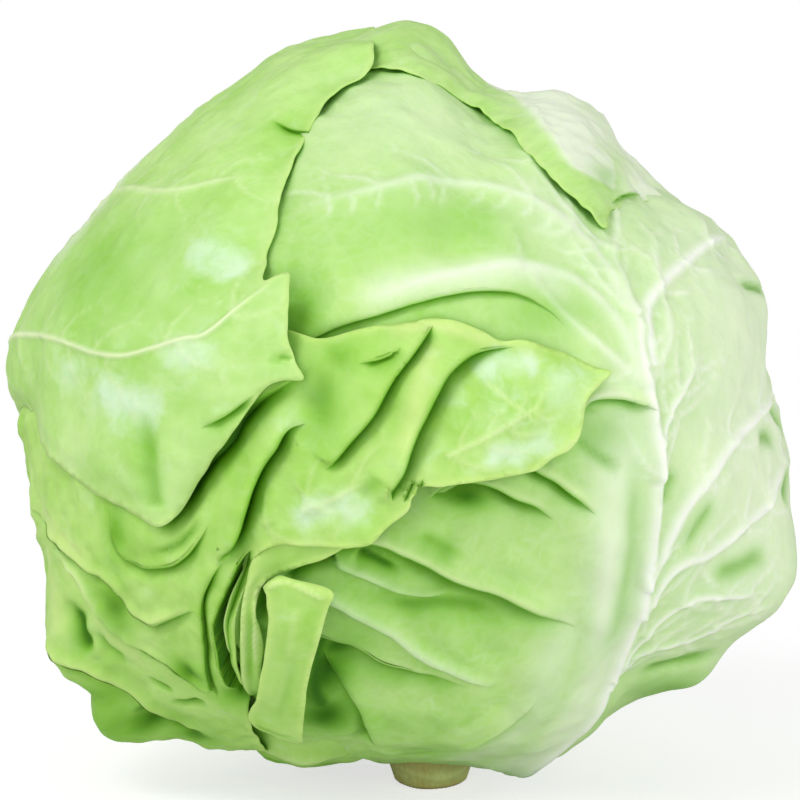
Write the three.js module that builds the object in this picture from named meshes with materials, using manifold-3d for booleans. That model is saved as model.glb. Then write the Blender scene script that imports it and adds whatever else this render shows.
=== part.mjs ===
// A white cabbage head, standing on the cut end of its stalk.
// The head is an assembly of leaves wrapped round a tight heart: each leaf is a thin curved shell of its own,
// held by its foot at the stalk. Millimetres, +Z up, the origin in the middle of the stalk's cut face,
// the front of the head facing -Y.
import * as THREE from "three";
import { mergeVertices } from "three/addons/utils/BufferGeometryUtils.js";
import Module from "manifold-3d";

const wasm = await Module();
wasm.setup();

// ---- Driving dimensions ----
const HEAD_CENTRE = new THREE.Vector3(-8, 0, 100); // from the middle of the cut face
const DEPTH_RADIUS = 96; // of the head, towards the front and the back
// Radius of the head's outline seen from the front, every 15 degrees from the right, counter-clockwise.
const OUTLINE_RADII = [
  100, 101, 93.5, 86.5, 89.5, 84.5, 94, 91, 87.5, 88, 91, 96.5, 96, 99, 102, 102, 101, 97, 96, 99.5, 101,
  100, 104, 104,
];
const LEAF_THICKNESS = 1.4;
const LAYER_STEP = 2.8; // from one layer of leaves to the next one in
const LEAF_GAP = 0.35; // kept between the stalk and each leaf's foot
const HEART_DEPTH = 22.5; // of the heart's skin under the outermost leaves
const HEART_SHIFT = 3; // of the heart towards the stalk, which keeps the head's weight over its foot
const STALK_FOOT_RADIUS = 15;
const STALK_FOOT_BEVEL = 1.5;
const STALK_RADIUS = 17;
const CORE_RADIUS = 11; // of the stalk's end inside the heart
const CORE_HEIGHT = 50;

// ---- Mesh fineness ----
const CURVE_STEPS = 24; // points along a rib
const HEART_DETAIL = 5; // splits of an icosahedron's edge, less one
const STALK_SIDES = 28;
const MERGE_DISTANCE = 1e-4;

const LEAF_GREEN = { color: 0xb4dc84, roughness: 0.45, metalness: 0 };
const PALE_GREEN = { color: 0xd8ecba, roughness: 0.45, metalness: 0 };
const HEART_CREAM = { color: 0xe6f0c4, roughness: 0.5, metalness: 0 };
const STALK_BROWN = { color: 0xa6ae62, roughness: 0.8, metalness: 0 };

const radians = THREE.MathUtils.degToRad;
const MM_PER_DEGREE = radians(1) * DEPTH_RADIUS;

// ---- The head's own shape ----

// The tightly packed inside is plainer: its outline only reaches the narrower of the neighbouring radii.
const INNER_RADII = OUTLINE_RADII.map((radius, i, radii) =>
  Math.min(radii.at(i - 1), radius, radii[(i + 1) % radii.length]),
);

// The outline's radius at an angle round the front view, smooth between the stated radii.
function outlineRadius(angle, radii) {
  const count = radii.length;
  const turn = ((angle / (2 * Math.PI)) * count + count) % count;
  const at = Math.floor(turn);
  const [a, b, c, d] = [-1, 0, 1, 2].map((k) => radii[(at + k + count) % count]);
  const t = turn - at;
  return b + 0.5 * t * (c - a + t * (2 * a - 5 * b + 4 * c - d + t * (3 * (b - c) + d - a)));
}

// Distance from the head's centre to its outermost skin along a unit direction.
function headRadius(direction, radii = OUTLINE_RADII) {
  const across = direction.x ** 2 + direction.z ** 2; // 0 at the front and back, 1 at the outline
  return DEPTH_RADIUS + (outlineRadius(Math.atan2(direction.z, direction.x), radii) - DEPTH_RADIUS) * across;
}

// A leaf is laid out on a chart wrapped round the head: degrees of arc to the right of and above the point
// that the leaf faces. The stalk is at (0, -90) on every chart, and the crown at (0, 90).
function chartDirection(facing, right, up) {
  const arc = radians(Math.hypot(right, up));
  const bearing = Math.atan2(up, right);
  return new THREE.Vector3(
    Math.sin(arc) * Math.cos(bearing),
    -Math.cos(arc),
    Math.sin(arc) * Math.sin(bearing),
  ).applyAxisAngle(new THREE.Vector3(0, 0, 1), radians(facing));
}

// ---- Relief on a leaf, in millimetres, at a point of its chart ----

const chartCurve = (points) =>
  new THREE.SplineCurve(points.map(([right, up]) => new THREE.Vector2(right, up))).getPoints(CURVE_STEPS);

// A rounded rib along a line, such as a leaf's midrib.
function rib(points, height, width) {
  const line = chartCurve(points);
  return (right, up) => {
    const nearest = Math.min(...line.map((p) => Math.hypot(p.x - right, p.y - up)));
    return height * Math.exp(-(((nearest * MM_PER_DEGREE) / width) ** 2));
  };
}

// A rounded swelling, or a hollow if its height is negative, about one point of the chart.
function swelling([right, up], height, [reachRight, reachUp]) {
  return (r, u) => height * Math.exp(-(((r - right) / reachRight) ** 2) - ((u - up) / reachUp) ** 2);
}

const sum = (reliefs, right, up) => reliefs.reduce((total, relief) => total + relief(right, up), 0);

// ---- Leaf shells ----

// A leaf's outline as evenly spaced chart points on a closed curve through the stated points.
function outlinePoints(outline, spokes) {
  const curve = new THREE.CatmullRomCurve3(
    outline.map(([right, up]) => new THREE.Vector3(right, up, 0)),
    true,
    "centripetal",
  );
  return curve.getSpacedPoints(spokes).slice(0, spokes);
}

// A closed shell: rings of points from the leaf's middle out to its edge, on its outer and its inner side.
function leafGeometry({ facing, middle, outline, layer, radii, relief = [], rings, spokes }) {
  const edge = outlinePoints(outline, spokes);
  const positions = [];
  const addSide = (depth) => {
    const addPoint = (right, up) => {
      const direction = chartDirection(facing, right, up);
      const radius = headRadius(direction, radii) - layer * LAYER_STEP + sum(relief, right, up) - depth;
      const point = direction.multiplyScalar(radius).add(HEAD_CENTRE);
      positions.push(point.x, point.y, point.z);
    };
    addPoint(middle[0], middle[1]);
    for (let ring = 1; ring <= rings; ring++) {
      const share = ring / rings;
      for (const { x, y } of edge) {
        addPoint(middle[0] + (x - middle[0]) * share, middle[1] + (y - middle[1]) * share);
      }
    }
  };
  addSide(0);
  addSide(LEAF_THICKNESS);
  const perSide = 1 + rings * spokes;
  const indices = [];
  const at = (ring, spoke) => 1 + (ring - 1) * spokes + (spoke % spokes);
  const addBoth = (a, b, c) => indices.push(a, b, c, a + perSide, c + perSide, b + perSide);
  for (let s = 0; s < spokes; s++) {
    addBoth(0, at(1, s), at(1, s + 1));
    for (let ring = 1; ring < rings; ring++) {
      addBoth(at(ring, s), at(ring + 1, s), at(ring + 1, s + 1));
      addBoth(at(ring, s), at(ring + 1, s + 1), at(ring, s + 1));
    }
    const [a, b] = [at(rings, s), at(rings, s + 1)];
    indices.push(a, a + perSide, b + perSide, a, b + perSide, b);
  }
  const geometry = new THREE.BufferGeometry();
  geometry.setAttribute("position", new THREE.Float32BufferAttribute(positions, 3));
  geometry.setIndex(indices);
  return geometry;
}

// ---- Solids ----

function toSolid(geometry) {
  const bare = geometry.clone();
  bare.deleteAttribute("normal");
  bare.deleteAttribute("uv");
  const merged = mergeVertices(bare, MERGE_DISTANCE);
  return new wasm.Manifold(
    new wasm.Mesh({
      numProp: 3,
      vertProperties: merged.attributes.position.array,
      triVerts: new Uint32Array(merged.index.array),
    }),
  );
}

function toGeometry(solid) {
  const mesh = solid.getMesh();
  const geometry = new THREE.BufferGeometry();
  geometry.setAttribute("position", new THREE.BufferAttribute(mesh.vertProperties, 3));
  geometry.setIndex(new THREE.BufferAttribute(mesh.triVerts, 1));
  geometry.computeVertexNormals();
  return geometry;
}

// The stalk: a turned solid, widest where the leaves grow from it, that goes on as the core of the heart.
// It is grown by a clearance for the cut that it makes in the leaves' feet and in the heart.
function stalkGeometry(clearance = 0) {
  const foot = STALK_FOOT_RADIUS + clearance;
  const waist = STALK_RADIUS + clearance;
  const profile = [
    [0, -clearance],
    [foot - STALK_FOOT_BEVEL, -clearance],
    [foot, STALK_FOOT_BEVEL],
    [waist, 8],
    [waist, 14],
    [CORE_RADIUS + clearance, 24],
    [CORE_RADIUS + clearance, CORE_HEIGHT + clearance],
    [0, CORE_HEIGHT + clearance],
  ].map(([radius, height]) => new THREE.Vector2(radius, height));
  return new THREE.LatheGeometry(profile, STALK_SIDES).rotateX(Math.PI / 2);
}

// The packed inner leaves: one closed body under all the leaves that can be told apart.
function heartGeometry() {
  const centre = HEAD_CENTRE.clone().add(new THREE.Vector3(HEART_SHIFT, 0, 0));
  const geometry = new THREE.IcosahedronGeometry(1, HEART_DETAIL);
  const position = geometry.attributes.position;
  const direction = new THREE.Vector3();
  for (let i = 0; i < position.count; i++) {
    direction.fromBufferAttribute(position, i).normalize();
    const radius = headRadius(direction, INNER_RADII) - HEART_DEPTH;
    position.setXYZ(i, ...direction.multiplyScalar(radius).add(centre).toArray());
  }
  return geometry;
}

const group = new THREE.Group();
const stalkClearance = toSolid(stalkGeometry(LEAF_GAP));

function addPiece(name, geometry, finish) {
  const mesh = new THREE.Mesh(geometry, new THREE.MeshStandardMaterial(finish));
  mesh.name = name;
  group.add(mesh);
}

function addLeaf(name, finish, shape) {
  addPiece(name, toGeometry(toSolid(leafGeometry(shape)).subtract(stalkClearance)), finish);
}

addPiece("stalk", stalkGeometry(), STALK_BROWN);
addPiece("heart", toGeometry(toSolid(heartGeometry()).subtract(stalkClearance)), HEART_CREAM);

// ---- Inner leaves: two pairs of plain cupped leaves, crossed round the heart ----

const CUPPED_OUTLINE = [
  [-14, -83], [14, -83], [42, -66], [62, -42], [73, -12], [74, 18], [62, 46], [38, 70], [10, 83],
  [-10, 83], [-38, 70], [-62, 46], [-74, 18], [-73, -12], [-62, -42], [-42, -66],
];
const INNER_LEAVES = {
  inner_leaf_right: { facing: 92, layer: 5.7 },
  inner_leaf_left: { facing: -88, layer: 5.7 },
  inner_leaf_front: { facing: 2, layer: 4.6 },
  inner_leaf_back: { facing: 182, layer: 4.6 },
};
for (const [name, place] of Object.entries(INNER_LEAVES)) {
  const shape = { middle: [0, 5], outline: CUPPED_OUTLINE, radii: INNER_RADII, rings: 6, spokes: 30 };
  addLeaf(name, PALE_GREEN, { ...place, ...shape });
}

// ---- Outer leaves, from the inside out ----

addLeaf("under_leaf", LEAF_GREEN, {
  facing: -20,
  middle: [-14, -64],
  layer: 3.2,
  outline: [
    [-18, -83], [6, -83], [22, -72], [27, -60], [8, -57], [-18, -56], [-40, -50], [-54, -50], [-62, -60],
    [-44, -74],
  ],
  relief: [swelling([-8, -77], 3, [9, 12])],
  rings: 4,
  spokes: 30,
});

addLeaf("rear_leaf", LEAF_GREEN, {
  facing: 178,
  middle: [0, 5],
  layer: 3.25,
  outline: [
    [-14, -83], [14, -83], [40, -67], [60, -43], [72, -12], [74, 22], [64, 52], [42, 76], [14, 92],
    [-12, 92], [-40, 76], [-62, 50], [-74, 20], [-72, -12], [-60, -43], [-40, -67],
  ],
  relief: [rib([[0, -80], [0, -30], [2, 30], [4, 70]], 1.2, 9)],
  rings: 8,
  spokes: 40,
});

// The leaf with the broad pale midrib: it wraps the right side and, above the folds, the front.
addLeaf("right_leaf", PALE_GREEN, {
  facing: 45,
  middle: [-5, 5],
  layer: 2.1,
  outline: [
    [-14, -83], [2, -82], [14, -68], [20, -54], [26, -41], [35, -28], [52, -18], [68, -5], [76, 14], [71, 36],
    [58, 56], [40, 72], [16, 84], [-12, 84], [-34, 75], [-52, 58], [-64, 40], [-68, 22], [-65, 2], [-62, -18],
    [-56, -36], [-48, -50], [-37, -63], [-26, -75],
  ],
  relief: [
    rib([[-10, -72], [-5, -43], [-9, -7], [-10, 17]], 2.6, 10),
    swelling([8, -66], 4.5, [11, 14]), // the thick foot of the midrib
    swelling([31, -32], 11, [16, 16]), // the lower edge stands away from the head
    swelling([-40, -22], -6, [20, 26]), // a hollow beside the midrib, filled by three soft folds
    rib([[-20, -20], [-28, -16], [-38, -15], [-46, -16]], 4, 9),
    rib([[-20, -35], [-30, -31], [-40, -27], [-48, -23]], 3, 8),
    rib([[-10, -51], [-22, -48], [-36, -46], [-46, -41]], 4, 10),
    rib([[-52, 20], [-44, 23], [-32, 25], [-24, 21]], 1.8, 9), // the lip above the front leaf
  ],
  rings: 10,
  spokes: 50,
});

addLeaf("front_leaf", LEAF_GREEN, {
  facing: 0,
  middle: [-34, -12],
  layer: 1.1,
  outline: [
    [-26, -83], [-24, -62], [-25, -49], [-22, -40], [-22, -27], [-18, -20], [-12, -15], [-4, -14], [1, -9],
    [8, -6], [18, -3], [24, 0], [27, 8], [22, 12], [8, 15], [-6, 13], [-20, 15], [-36, 21], [-52, 23],
    [-68, 19], [-84, 8], [-89, -10], [-83, -34], [-76, -47], [-63, -60], [-46, -71], [-38, -79],
  ],
  relief: [
    rib([[-21, -5], [-24, -10], [-27, -15], [-31, -24], [-34, -33]], 2.4, 6),
    rib([[0, 13], [-4, 7], [-8, 1], [-12, -4]], 2.4, 6),
    rib([[12, 12], [6, 11], [1, 5], [-1, -1], [-3, -7]], 2.4, 6),
    swelling([-61, -56], 13, [17, 17]), // the lower edge stands away from the head
  ],
  rings: 9,
  spokes: 50,
});

// The narrow end of the front leaf's neighbour, folded down like a ribbon over the gap beside it.
addLeaf("folded_leaf", LEAF_GREEN, {
  facing: 0,
  middle: [-17, -38],
  layer: 0,
  outline: [[-18, -24], [-21, -36], [-25, -48], [-22, -54], [-15, -51], [-11, -36], [-8, -25], [-12, -22]],
  rings: 3,
  spokes: 20,
});

addLeaf("left_leaf", LEAF_GREEN, {
  facing: -75,
  middle: [-16, 24],
  layer: 0,
  outline: [
    [-20, -85], [-18, -46], [-14, -18], [-5, 3], [10, 1], [22, -4], [33, -10], [41, -14], [49, -5], [58, 6],
    [61, 14], [57, 26], [51, 31], [46, 42], [41, 54], [36, 68], [20, 78], [0, 82], [-28, 76], [-54, 56],
    [-68, 30], [-72, 2], [-66, -28], [-57, -54], [-45, -74], [-32, -84],
  ],
  relief: [
    rib([[-6, 10], [19, 11], [41, 12], [57, 25]], 1.4, 9),
    rib([[-30, -74], [-34, -20], [-20, 40], [-6, 70]], 2, 9),
    swelling([14, 92], 5, [16, 16]), // the peak of the head
  ],
  rings: 9,
  spokes: 44,
});

addLeaf("crown_leaf", LEAF_GREEN, {
  facing: 140,
  middle: [-10, 30],
  layer: 1.05,
  outline: [
    [-12, -83], [10, -83], [30, -67], [47, -44], [58, -16], [62, 16], [56, 46], [42, 76], [20, 98], [0, 108],
    [-18, 112], [-34, 108], [-48, 103], [-64, 91], [-81, 72], [-91, 54], [-82, 50], [-68, 41], [-54, 30],
    [-43, 12], [-36, -8], [-33, -34], [-28, -60],
  ],
  relief: [
    rib([[0, -76], [-2, -20], [-8, 40], [-16, 72]], 2.2, 9),
    swelling([-16, 93], 5, [16, 16]), // the peak of the head
  ],
  rings: 9,
  spokes: 44,
});

export default group;
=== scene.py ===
# %% [markdown]
# # A white cabbage, dressed leaf by leaf
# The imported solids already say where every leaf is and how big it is. This lesson gives each leaf that can
# be seen its real surface: veins, pleats, torn margins and the waxy green skin. First the solids are
# loaded.

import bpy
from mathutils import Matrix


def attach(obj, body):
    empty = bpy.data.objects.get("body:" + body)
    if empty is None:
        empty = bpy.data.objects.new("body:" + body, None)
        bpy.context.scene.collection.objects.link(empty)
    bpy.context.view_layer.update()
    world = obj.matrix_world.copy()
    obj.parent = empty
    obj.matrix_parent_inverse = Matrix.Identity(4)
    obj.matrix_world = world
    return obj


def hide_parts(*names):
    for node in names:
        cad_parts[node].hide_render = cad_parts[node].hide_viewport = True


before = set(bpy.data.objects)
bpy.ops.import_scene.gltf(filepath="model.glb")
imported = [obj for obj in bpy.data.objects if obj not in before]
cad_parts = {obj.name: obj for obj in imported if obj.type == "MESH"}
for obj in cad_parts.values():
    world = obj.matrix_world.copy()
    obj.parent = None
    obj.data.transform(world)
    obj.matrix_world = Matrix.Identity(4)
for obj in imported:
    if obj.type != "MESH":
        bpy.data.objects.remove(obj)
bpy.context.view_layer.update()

# %% Libraries and units
import math

import bpy
import numpy as np
from mathutils import Vector
from mathutils.geometry import delaunay_2d_cdt
from mathutils.kdtree import KDTree

MM = 0.001  # every size below is in millimetres until it becomes a mesh

# %% [markdown]
# ## Where a point of a leaf is
# All leaves of a head lie on one lumpy ball, so it is easiest to draw each leaf on a chart wrapped round
# that ball: degrees of arc to the right of and above the point that the leaf faces. The stalk is at (0,
# -90) on every chart and the crown at (0, 90). Sculpting by hand would work too, but a chart keeps every
# leaf in its layer.

# %% The head's lumpy ball and the charts on it
HEAD_CENTRE = np.array([-8.0, 0.0, 100.0])
DEPTH_RADIUS = 96.0  # towards the front and the back
# The outline's radius seen from the front, every 15 degrees from the right, counter-clockwise.
OUTLINE_RADII = np.array([
    100, 101, 93.5, 86.5, 89.5, 84.5, 94, 91, 87.5, 88, 91, 96.5, 96, 99, 102, 102, 101, 97, 96, 99.5, 101,
    100, 104, 104,
])
ARC_MM = math.radians(1) * DEPTH_RADIUS


def between(a, b, c, d, t):
    """A smooth step from b to c that leaves a and arrives at d without a kink."""
    return b + 0.5 * t * (c - a + t * (2 * a - 5 * b + 4 * c - d + t * (3 * (b - c) + d - a)))


def outline_radius(angle):
    count = len(OUTLINE_RADII)
    turn = (angle / (2 * np.pi) * count) % count
    at = np.floor(turn).astype(int)
    return between(*(OUTLINE_RADII[(at + k) % count] for k in (-1, 0, 1, 2)), turn - at)


def head_radius(direction):
    across = direction[:, 0] ** 2 + direction[:, 2] ** 2
    edge = outline_radius(np.arctan2(direction[:, 2], direction[:, 0]))
    return DEPTH_RADIUS + (edge - DEPTH_RADIUS) * across


def chart_direction(facing, chart):
    arc = np.radians(np.hypot(chart[:, 0], chart[:, 1]))
    bearing = np.arctan2(chart[:, 1], chart[:, 0])
    x, y, z = np.sin(arc) * np.cos(bearing), -np.cos(arc), np.sin(arc) * np.sin(bearing)
    turn = math.radians(facing)
    return np.stack(
        [x * math.cos(turn) - y * math.sin(turn), x * math.sin(turn) + y * math.cos(turn), z], axis=1)


print("one degree of arc is", round(ARC_MM, 2), "mm on the head's skin")

# %% [markdown]
# ## Lines on a leaf
# Veins, pleats and margins are all smooth lines through a few points. A point of the leaf then only needs
# to know how far it is from the line, on which side, and how far along.

# %% Smooth lines, and the distance from them
LINE_STEP_MM = 0.9
STEPS_BETWEEN = 12  # straight steps from one point of a line to the next, before they are evened out
FAR_MM = 1000.0  # stands for "not near the line"


def smooth_line(points, closed=False):
    points = np.array(points, float)
    count = len(points)
    if closed:
        around = points[np.arange(-1, count + 2) % count]
    else:
        around = np.vstack([2 * points[0] - points[1], points, 2 * points[-1] - points[-2]])
    dense = []
    for a, b, c, d in zip(around, around[1:], around[2:], around[3:]):
        dense += [between(a, b, c, d, t) for t in np.linspace(0, 1, STEPS_BETWEEN, endpoint=False)]
    dense = np.array(dense + [points[0 if closed else -1]])
    run = np.concatenate([[0], np.cumsum(np.hypot(*np.diff(dense, axis=0).T))])
    at = np.linspace(0, run[-1], max(4, int(run[-1] * ARC_MM / LINE_STEP_MM)) + 1)
    line = np.stack([np.interp(at, run, dense[:, 0]), np.interp(at, run, dense[:, 1])], axis=1)
    return line[:-1] if closed else line


def normals_of(line):
    """Unit vectors to the left of a line."""
    along = np.gradient(line, axis=0)
    return np.stack([-along[:, 1], along[:, 0]], axis=1) / np.hypot(*along.T)[:, None]


def beside(points, line, reach_mm):
    """Millimetres from a line, positive on its left, the share along it, and its left-hand normal."""
    away, share, normal = np.full(len(points), FAR_MM), np.zeros(len(points)), np.zeros((len(points), 2))
    low, high = line.min(axis=0) - reach_mm / ARC_MM, line.max(axis=0) + reach_mm / ARC_MM
    at = np.nonzero(((points > low) & (points < high)).all(axis=1))[0]
    near, best, found = points[at], np.full(len(at), np.inf), np.zeros(len(at), int)
    spot = np.zeros(len(at))
    steps = np.diff(line, axis=0)
    for i, (a, step) in enumerate(zip(line, steps)):
        offset = near - a
        t = np.clip(offset @ step / (step @ step), 0, 1)
        gap = ((offset - t[:, None] * step) ** 2).sum(axis=1)
        closer = gap < best
        best[closer], found[closer], spot[closer] = gap[closer], i, t[closer]
    offset, step = near - line[found], steps[found]
    left = np.sign(step[:, 0] * offset[:, 1] - step[:, 1] * offset[:, 0])
    away[at] = np.sqrt(best) * left * ARC_MM
    share[at] = (found + spot) / len(steps)
    normal[at] = np.stack([-step[:, 1], step[:, 0]], axis=1) / np.hypot(*step.T)[:, None]
    return away, share, normal


def smoothstep(low, high, value):
    t = np.clip((value - low) / (high - low), 0, 1)
    return t * t * (3 - 2 * t)


def bell(value, width):
    return np.exp(-((value / width) ** 2))


# %% [markdown]
# ## What happens to a leaf's surface
# Each form below adds its share to the height above the head's skin and to the sideways shift of a point,
# and some also mark the surface for the material: `rib` where a vein is pale, `pale` where the leaf got no
# light as it grew, a mark of painted shade where a groove or gap is deep, `edge` where the leaf is thin and,
# along a pleat's crest, a painted highlight, and a mark of painted highlights laid in the pale blue of the
# wax bloom. A pleat laps over its neighbour, which a height alone cannot do, so its crest also shifts
# sideways.

# %% The leaf while it is shaped
MARKS = ("rib", "pale", "hollow", "edge", "bloom")


class Surface:
    def __init__(self, chart):
        self.chart = chart
        self.height = np.zeros(len(chart))
        self.shift = np.zeros((len(chart), 2))
        self.marks = {mark: np.zeros(len(chart)) for mark in MARKS}

    def mark(self, name, amount):
        self.marks[name] = np.maximum(self.marks[name], np.clip(amount, 0, 1))


def taper(share, ends):
    """1 along a line, falling to 0 over these shares of its length at its two ends."""
    return smoothstep(0, ends[0], share) * smoothstep(0, ends[1], 1 - share)


# %% Swellings, ribs and grooves
def swelling(centre, height, reach, **marks):
    def apply(surface):
        d = (surface.chart - np.array(centre)) / np.array(reach)
        strength = np.exp(-(d**2).sum(axis=1))
        surface.height += height * strength
        for mark, amount in marks.items():
            surface.mark(mark, amount * strength)
    return apply


def stain(centre, reach, **marks):
    """Only the marks of a swelling, on a surface that stays as it is."""
    return swelling(centre, 0, reach, **marks)


RIB_ROWS = (-1.5, -1.0, -0.5, 0, 0.5, 1.0, 1.5)  # extra rows of points beside a crisp rib, in widths


def rib(points, height, width, pale=1.0, ends=(0.01, 0.3), crisp=False):
    line = smooth_line(points)

    def apply(surface):
        d, share, _ = beside(surface.chart, line, 3 * width)
        strength, narrowing = taper(share, ends), 1 - 0.4 * share
        surface.height += height * strength * bell(d, width * narrowing)
        surface.mark("rib", pale * strength * bell(d, 0.8 * width * narrowing))
    if crisp:
        apply.line, apply.rows_mm = line, [row * width for row in RIB_ROWS]
    return apply


def groove(points, depth, width, hollow=0.8, ends=(0.3, 0.3)):
    line = smooth_line(points)

    def apply(surface):
        d, share, _ = beside(surface.chart, line, 3 * width)
        strength = taper(share, ends)
        surface.height -= depth * strength * bell(d, width)
        # The groove's colour is darkened by painted shade.
        surface.mark("hollow", hollow * strength * bell(d, 0.8 * width))
    return apply


# %% Pleats
PLEAT_ROWS_MM = (-4.5, -3.2, -2.2, -1.4, -0.8, -0.35, -0.06, 0.06, 0.35, 0.8, 1.4, 2.2, 3.2)
LIP_MM = 0.9  # how far from its edge a crest rounds off
TUCK_MM = 1.6  # how far the lower side is drawn in under the crest
# A rim is a painted highlight along a pleat's crest, laid in through the edge and the vein colours.
CREST_HIGHLIGHT_EDGE, CREST_HIGHLIGHT_RIB = 1.6, 0.35  # how much a rim counts as a thin edge and as a vein


def pleat(points, crest, drop, crest_width, drop_width, lap=1.6, tuck=1.0, hollow=0.9, shade=2.0, rim=0.0,
          ends=(0.3, 0.3)):
    """The leaf left of the line bulges and laps over the leaf right of it, which starts from a groove."""
    line = smooth_line(points)
    along = taper(np.linspace(0, 1, len(line)), ends)[:, None]
    # The lapping edge shifts back by most of the lap, so the line starts that much further left.
    line = line + normals_of(line) * along * (0.8 * lap / ARC_MM)

    def apply(surface):
        d, share, normal = beside(surface.chart, line, max(crest_width, drop_width, 5) + 1)
        strength, high = taper(share, ends), d >= 0
        rise = (1 - np.clip(d / crest_width, 0, 1) ** 2) ** 2 * (1 - 0.45 * bell(d, LIP_MM))
        fall = (1 - np.clip(-d / drop_width, 0, 1)) ** 2
        surface.height += strength * np.where(high, crest * rise, -drop * fall)
        over = np.where(high, -lap * bell(d, 0.6 * crest_width), tuck * bell(d, TUCK_MM))
        surface.shift += (strength * over / ARC_MM)[:, None] * normal
        # Painted shade: a narrow line under the crest and a wider band down the groove beside it.
        shade_profile = np.where(high, bell(d, 0.4), bell(d, shade))
        surface.mark("hollow", hollow * strength * shade_profile)
        # With a rim, a painted highlight along the crest.
        surface.mark("edge", CREST_HIGHLIGHT_EDGE * rim * strength * np.where(high, bell(d - 1.2, 1.1), 0))
        surface.mark("rib", CREST_HIGHLIGHT_RIB * rim * strength * np.where(high, bell(d - 1.0, 0.9), 0))
    apply.line, apply.rows_mm = line, PLEAT_ROWS_MM
    return apply


# %% Soft streaks of colour
def streak(points, width, amount, mark="pale", side=0, ends=(0.2, 0.2)):
    """A mark along a line, or only to its left (side 1) or to its right (side -1)."""
    line = smooth_line(points)

    def apply(surface):
        d, share, _ = beside(surface.chart, line, 3 * width)
        across = bell(d, width) * (smoothstep(-3, 3, side * d) if side else 1)
        surface.mark(mark, amount * taper(share, ends) * across)
    return apply


# %% Ripples
WAVES = 14


def ripples(height, length_mm, seed):
    """Soft irregular waves over the whole leaf."""
    rng = np.random.default_rng(seed)
    waves = [(rng.uniform(0, 2 * np.pi), length_mm * rng.uniform(0.7, 1.6), rng.uniform(0, 2 * np.pi))
             for _ in range(WAVES)]

    def apply(surface):
        x, y = (surface.chart * ARC_MM).T
        total = sum(np.sin(2 * np.pi * (x * math.cos(a) + y * math.sin(a)) / length + phase)
                    for a, length, phase in waves)
        surface.height += height * total / math.sqrt(len(waves) / 2)
    return apply


# %% [markdown]
# ## Side veins
# A cabbage leaf is pinnate: side veins leave the midrib in turn, bend towards the tip, and fork again.
# Drawing them all by hand would take days, so they grow from the main vein by a rule with a little chance
# in it.

# %% Side veins that grow from a main vein
FORK_ANGLE = 50  # degrees between a side vein and its own side veins
FORK_LENGTH, FORK_HEIGHT, FORK_WIDTH, FORK_PALE = 0.35, 0.6, 0.65, 0.6  # of the vein that it leaves


def side_veins(stem, count, angle, length_mm, height=0.5, width=1.3, pale=0.6, seed=0, sides=(1, -1),
               forks=3):
    rng = np.random.default_rng(seed)
    line = smooth_line(stem)
    forms = []
    for share in np.linspace(0.08, 0.9, count):
        for side in sides:
            at = int(np.clip(share + rng.uniform(-0.03, 0.03), 0, 0.98) * (len(line) - 2))
            forward = (line[at + 1] - line[at]) / np.hypot(*(line[at + 1] - line[at]))
            turn = side * math.radians(angle + rng.uniform(-7, 7))
            outward = np.array([
                forward[0] * math.cos(turn) - forward[1] * math.sin(turn),
                forward[0] * math.sin(turn) + forward[1] * math.cos(turn),
            ])
            reach = length_mm * (1 - 0.4 * share) * rng.uniform(0.8, 1.15) / ARC_MM
            start = line[at]
            points = [start, start + reach * 0.5 * outward, start + reach * (0.9 * outward + 0.3 * forward)]
            forms.append(rib(points, height, width, pale, ends=(0.01, 0.6)))
            if forks:
                forms += side_veins(
                    points, forks, FORK_ANGLE, FORK_LENGTH * length_mm, FORK_HEIGHT * height,
                    FORK_WIDTH * width, FORK_PALE * pale, int(rng.integers(1e6)), forks=0)
    return forms


# %% [markdown]
# ## From a chart to a thin closed leaf
# The leaf's points are a loose triangular grid inside its margin, with extra rows on both sides of every
# pleat, so that each crest stays crisp. A constrained Delaunay triangulation joins them. The back of the
# leaf is the same sheet moved inward by its thickness, which thins towards the margin.

# %% Points inside a margin
def inside(points, outline):
    x, y = points.T
    within = np.zeros(len(points), bool)
    for (ax, ay), (bx, by) in zip(outline, np.roll(outline, -1, axis=0)):
        if ay != by:
            within ^= ((ay > y) != (by > y)) & (x < (bx - ax) * (y - ay) / (by - ay) + ax)
    return within


def hexagonal_grid(low, high, step):
    rows, columns = np.arange(low[1], high[1], step * math.sqrt(0.75)), np.arange(low[0], high[0], step)
    x, y = np.meshgrid(columns, rows)
    x = x + np.where(np.arange(len(rows)) % 2, step / 2, 0)[:, None]
    return np.stack([x.ravel(), y.ravel()], axis=1)


def away_from(points, taken, distance):
    tree = KDTree(len(taken))
    for i, (x, y) in enumerate(taken):
        tree.insert((x, y, 0), i)
    tree.balance()
    return points[[tree.find((x, y, 0))[2] > distance for x, y in points]]


ROW_SPACING_MM = 0.5
CLEARANCE = 0.6  # the least distance to a neighbour, as a share of the spacing


def leaf_points(edge, step_mm, lined, fine):
    """Grid points inside the margin, finer in the stated circles, and rows along pleats and crisp ribs."""
    coarse = hexagonal_grid(edge.min(axis=0), edge.max(axis=0), step_mm / ARC_MM)
    rows = [form.line + normals_of(form.line) * (offset / ARC_MM)
            for form in lined for offset in form.rows_mm]
    layers = [(np.vstack(rows), ROW_SPACING_MM)] if rows else []
    for centre, radius, fine_mm in fine:
        centre = np.array(centre)
        grid = hexagonal_grid(centre - radius, centre + radius, fine_mm / ARC_MM)
        layers.append((grid[np.hypot(*(grid - centre).T) < radius], fine_mm))
        coarse = coarse[np.hypot(*(coarse - centre).T) > radius]
    kept = edge
    for points, spacing in layers + [(coarse, step_mm)]:
        points = points[inside(points, edge)]
        kept = np.vstack([kept, away_from(points, kept, CLEARANCE * spacing / ARC_MM)])
    return kept[len(edge):]


SAME_POINT = 1e-5  # degrees


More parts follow.
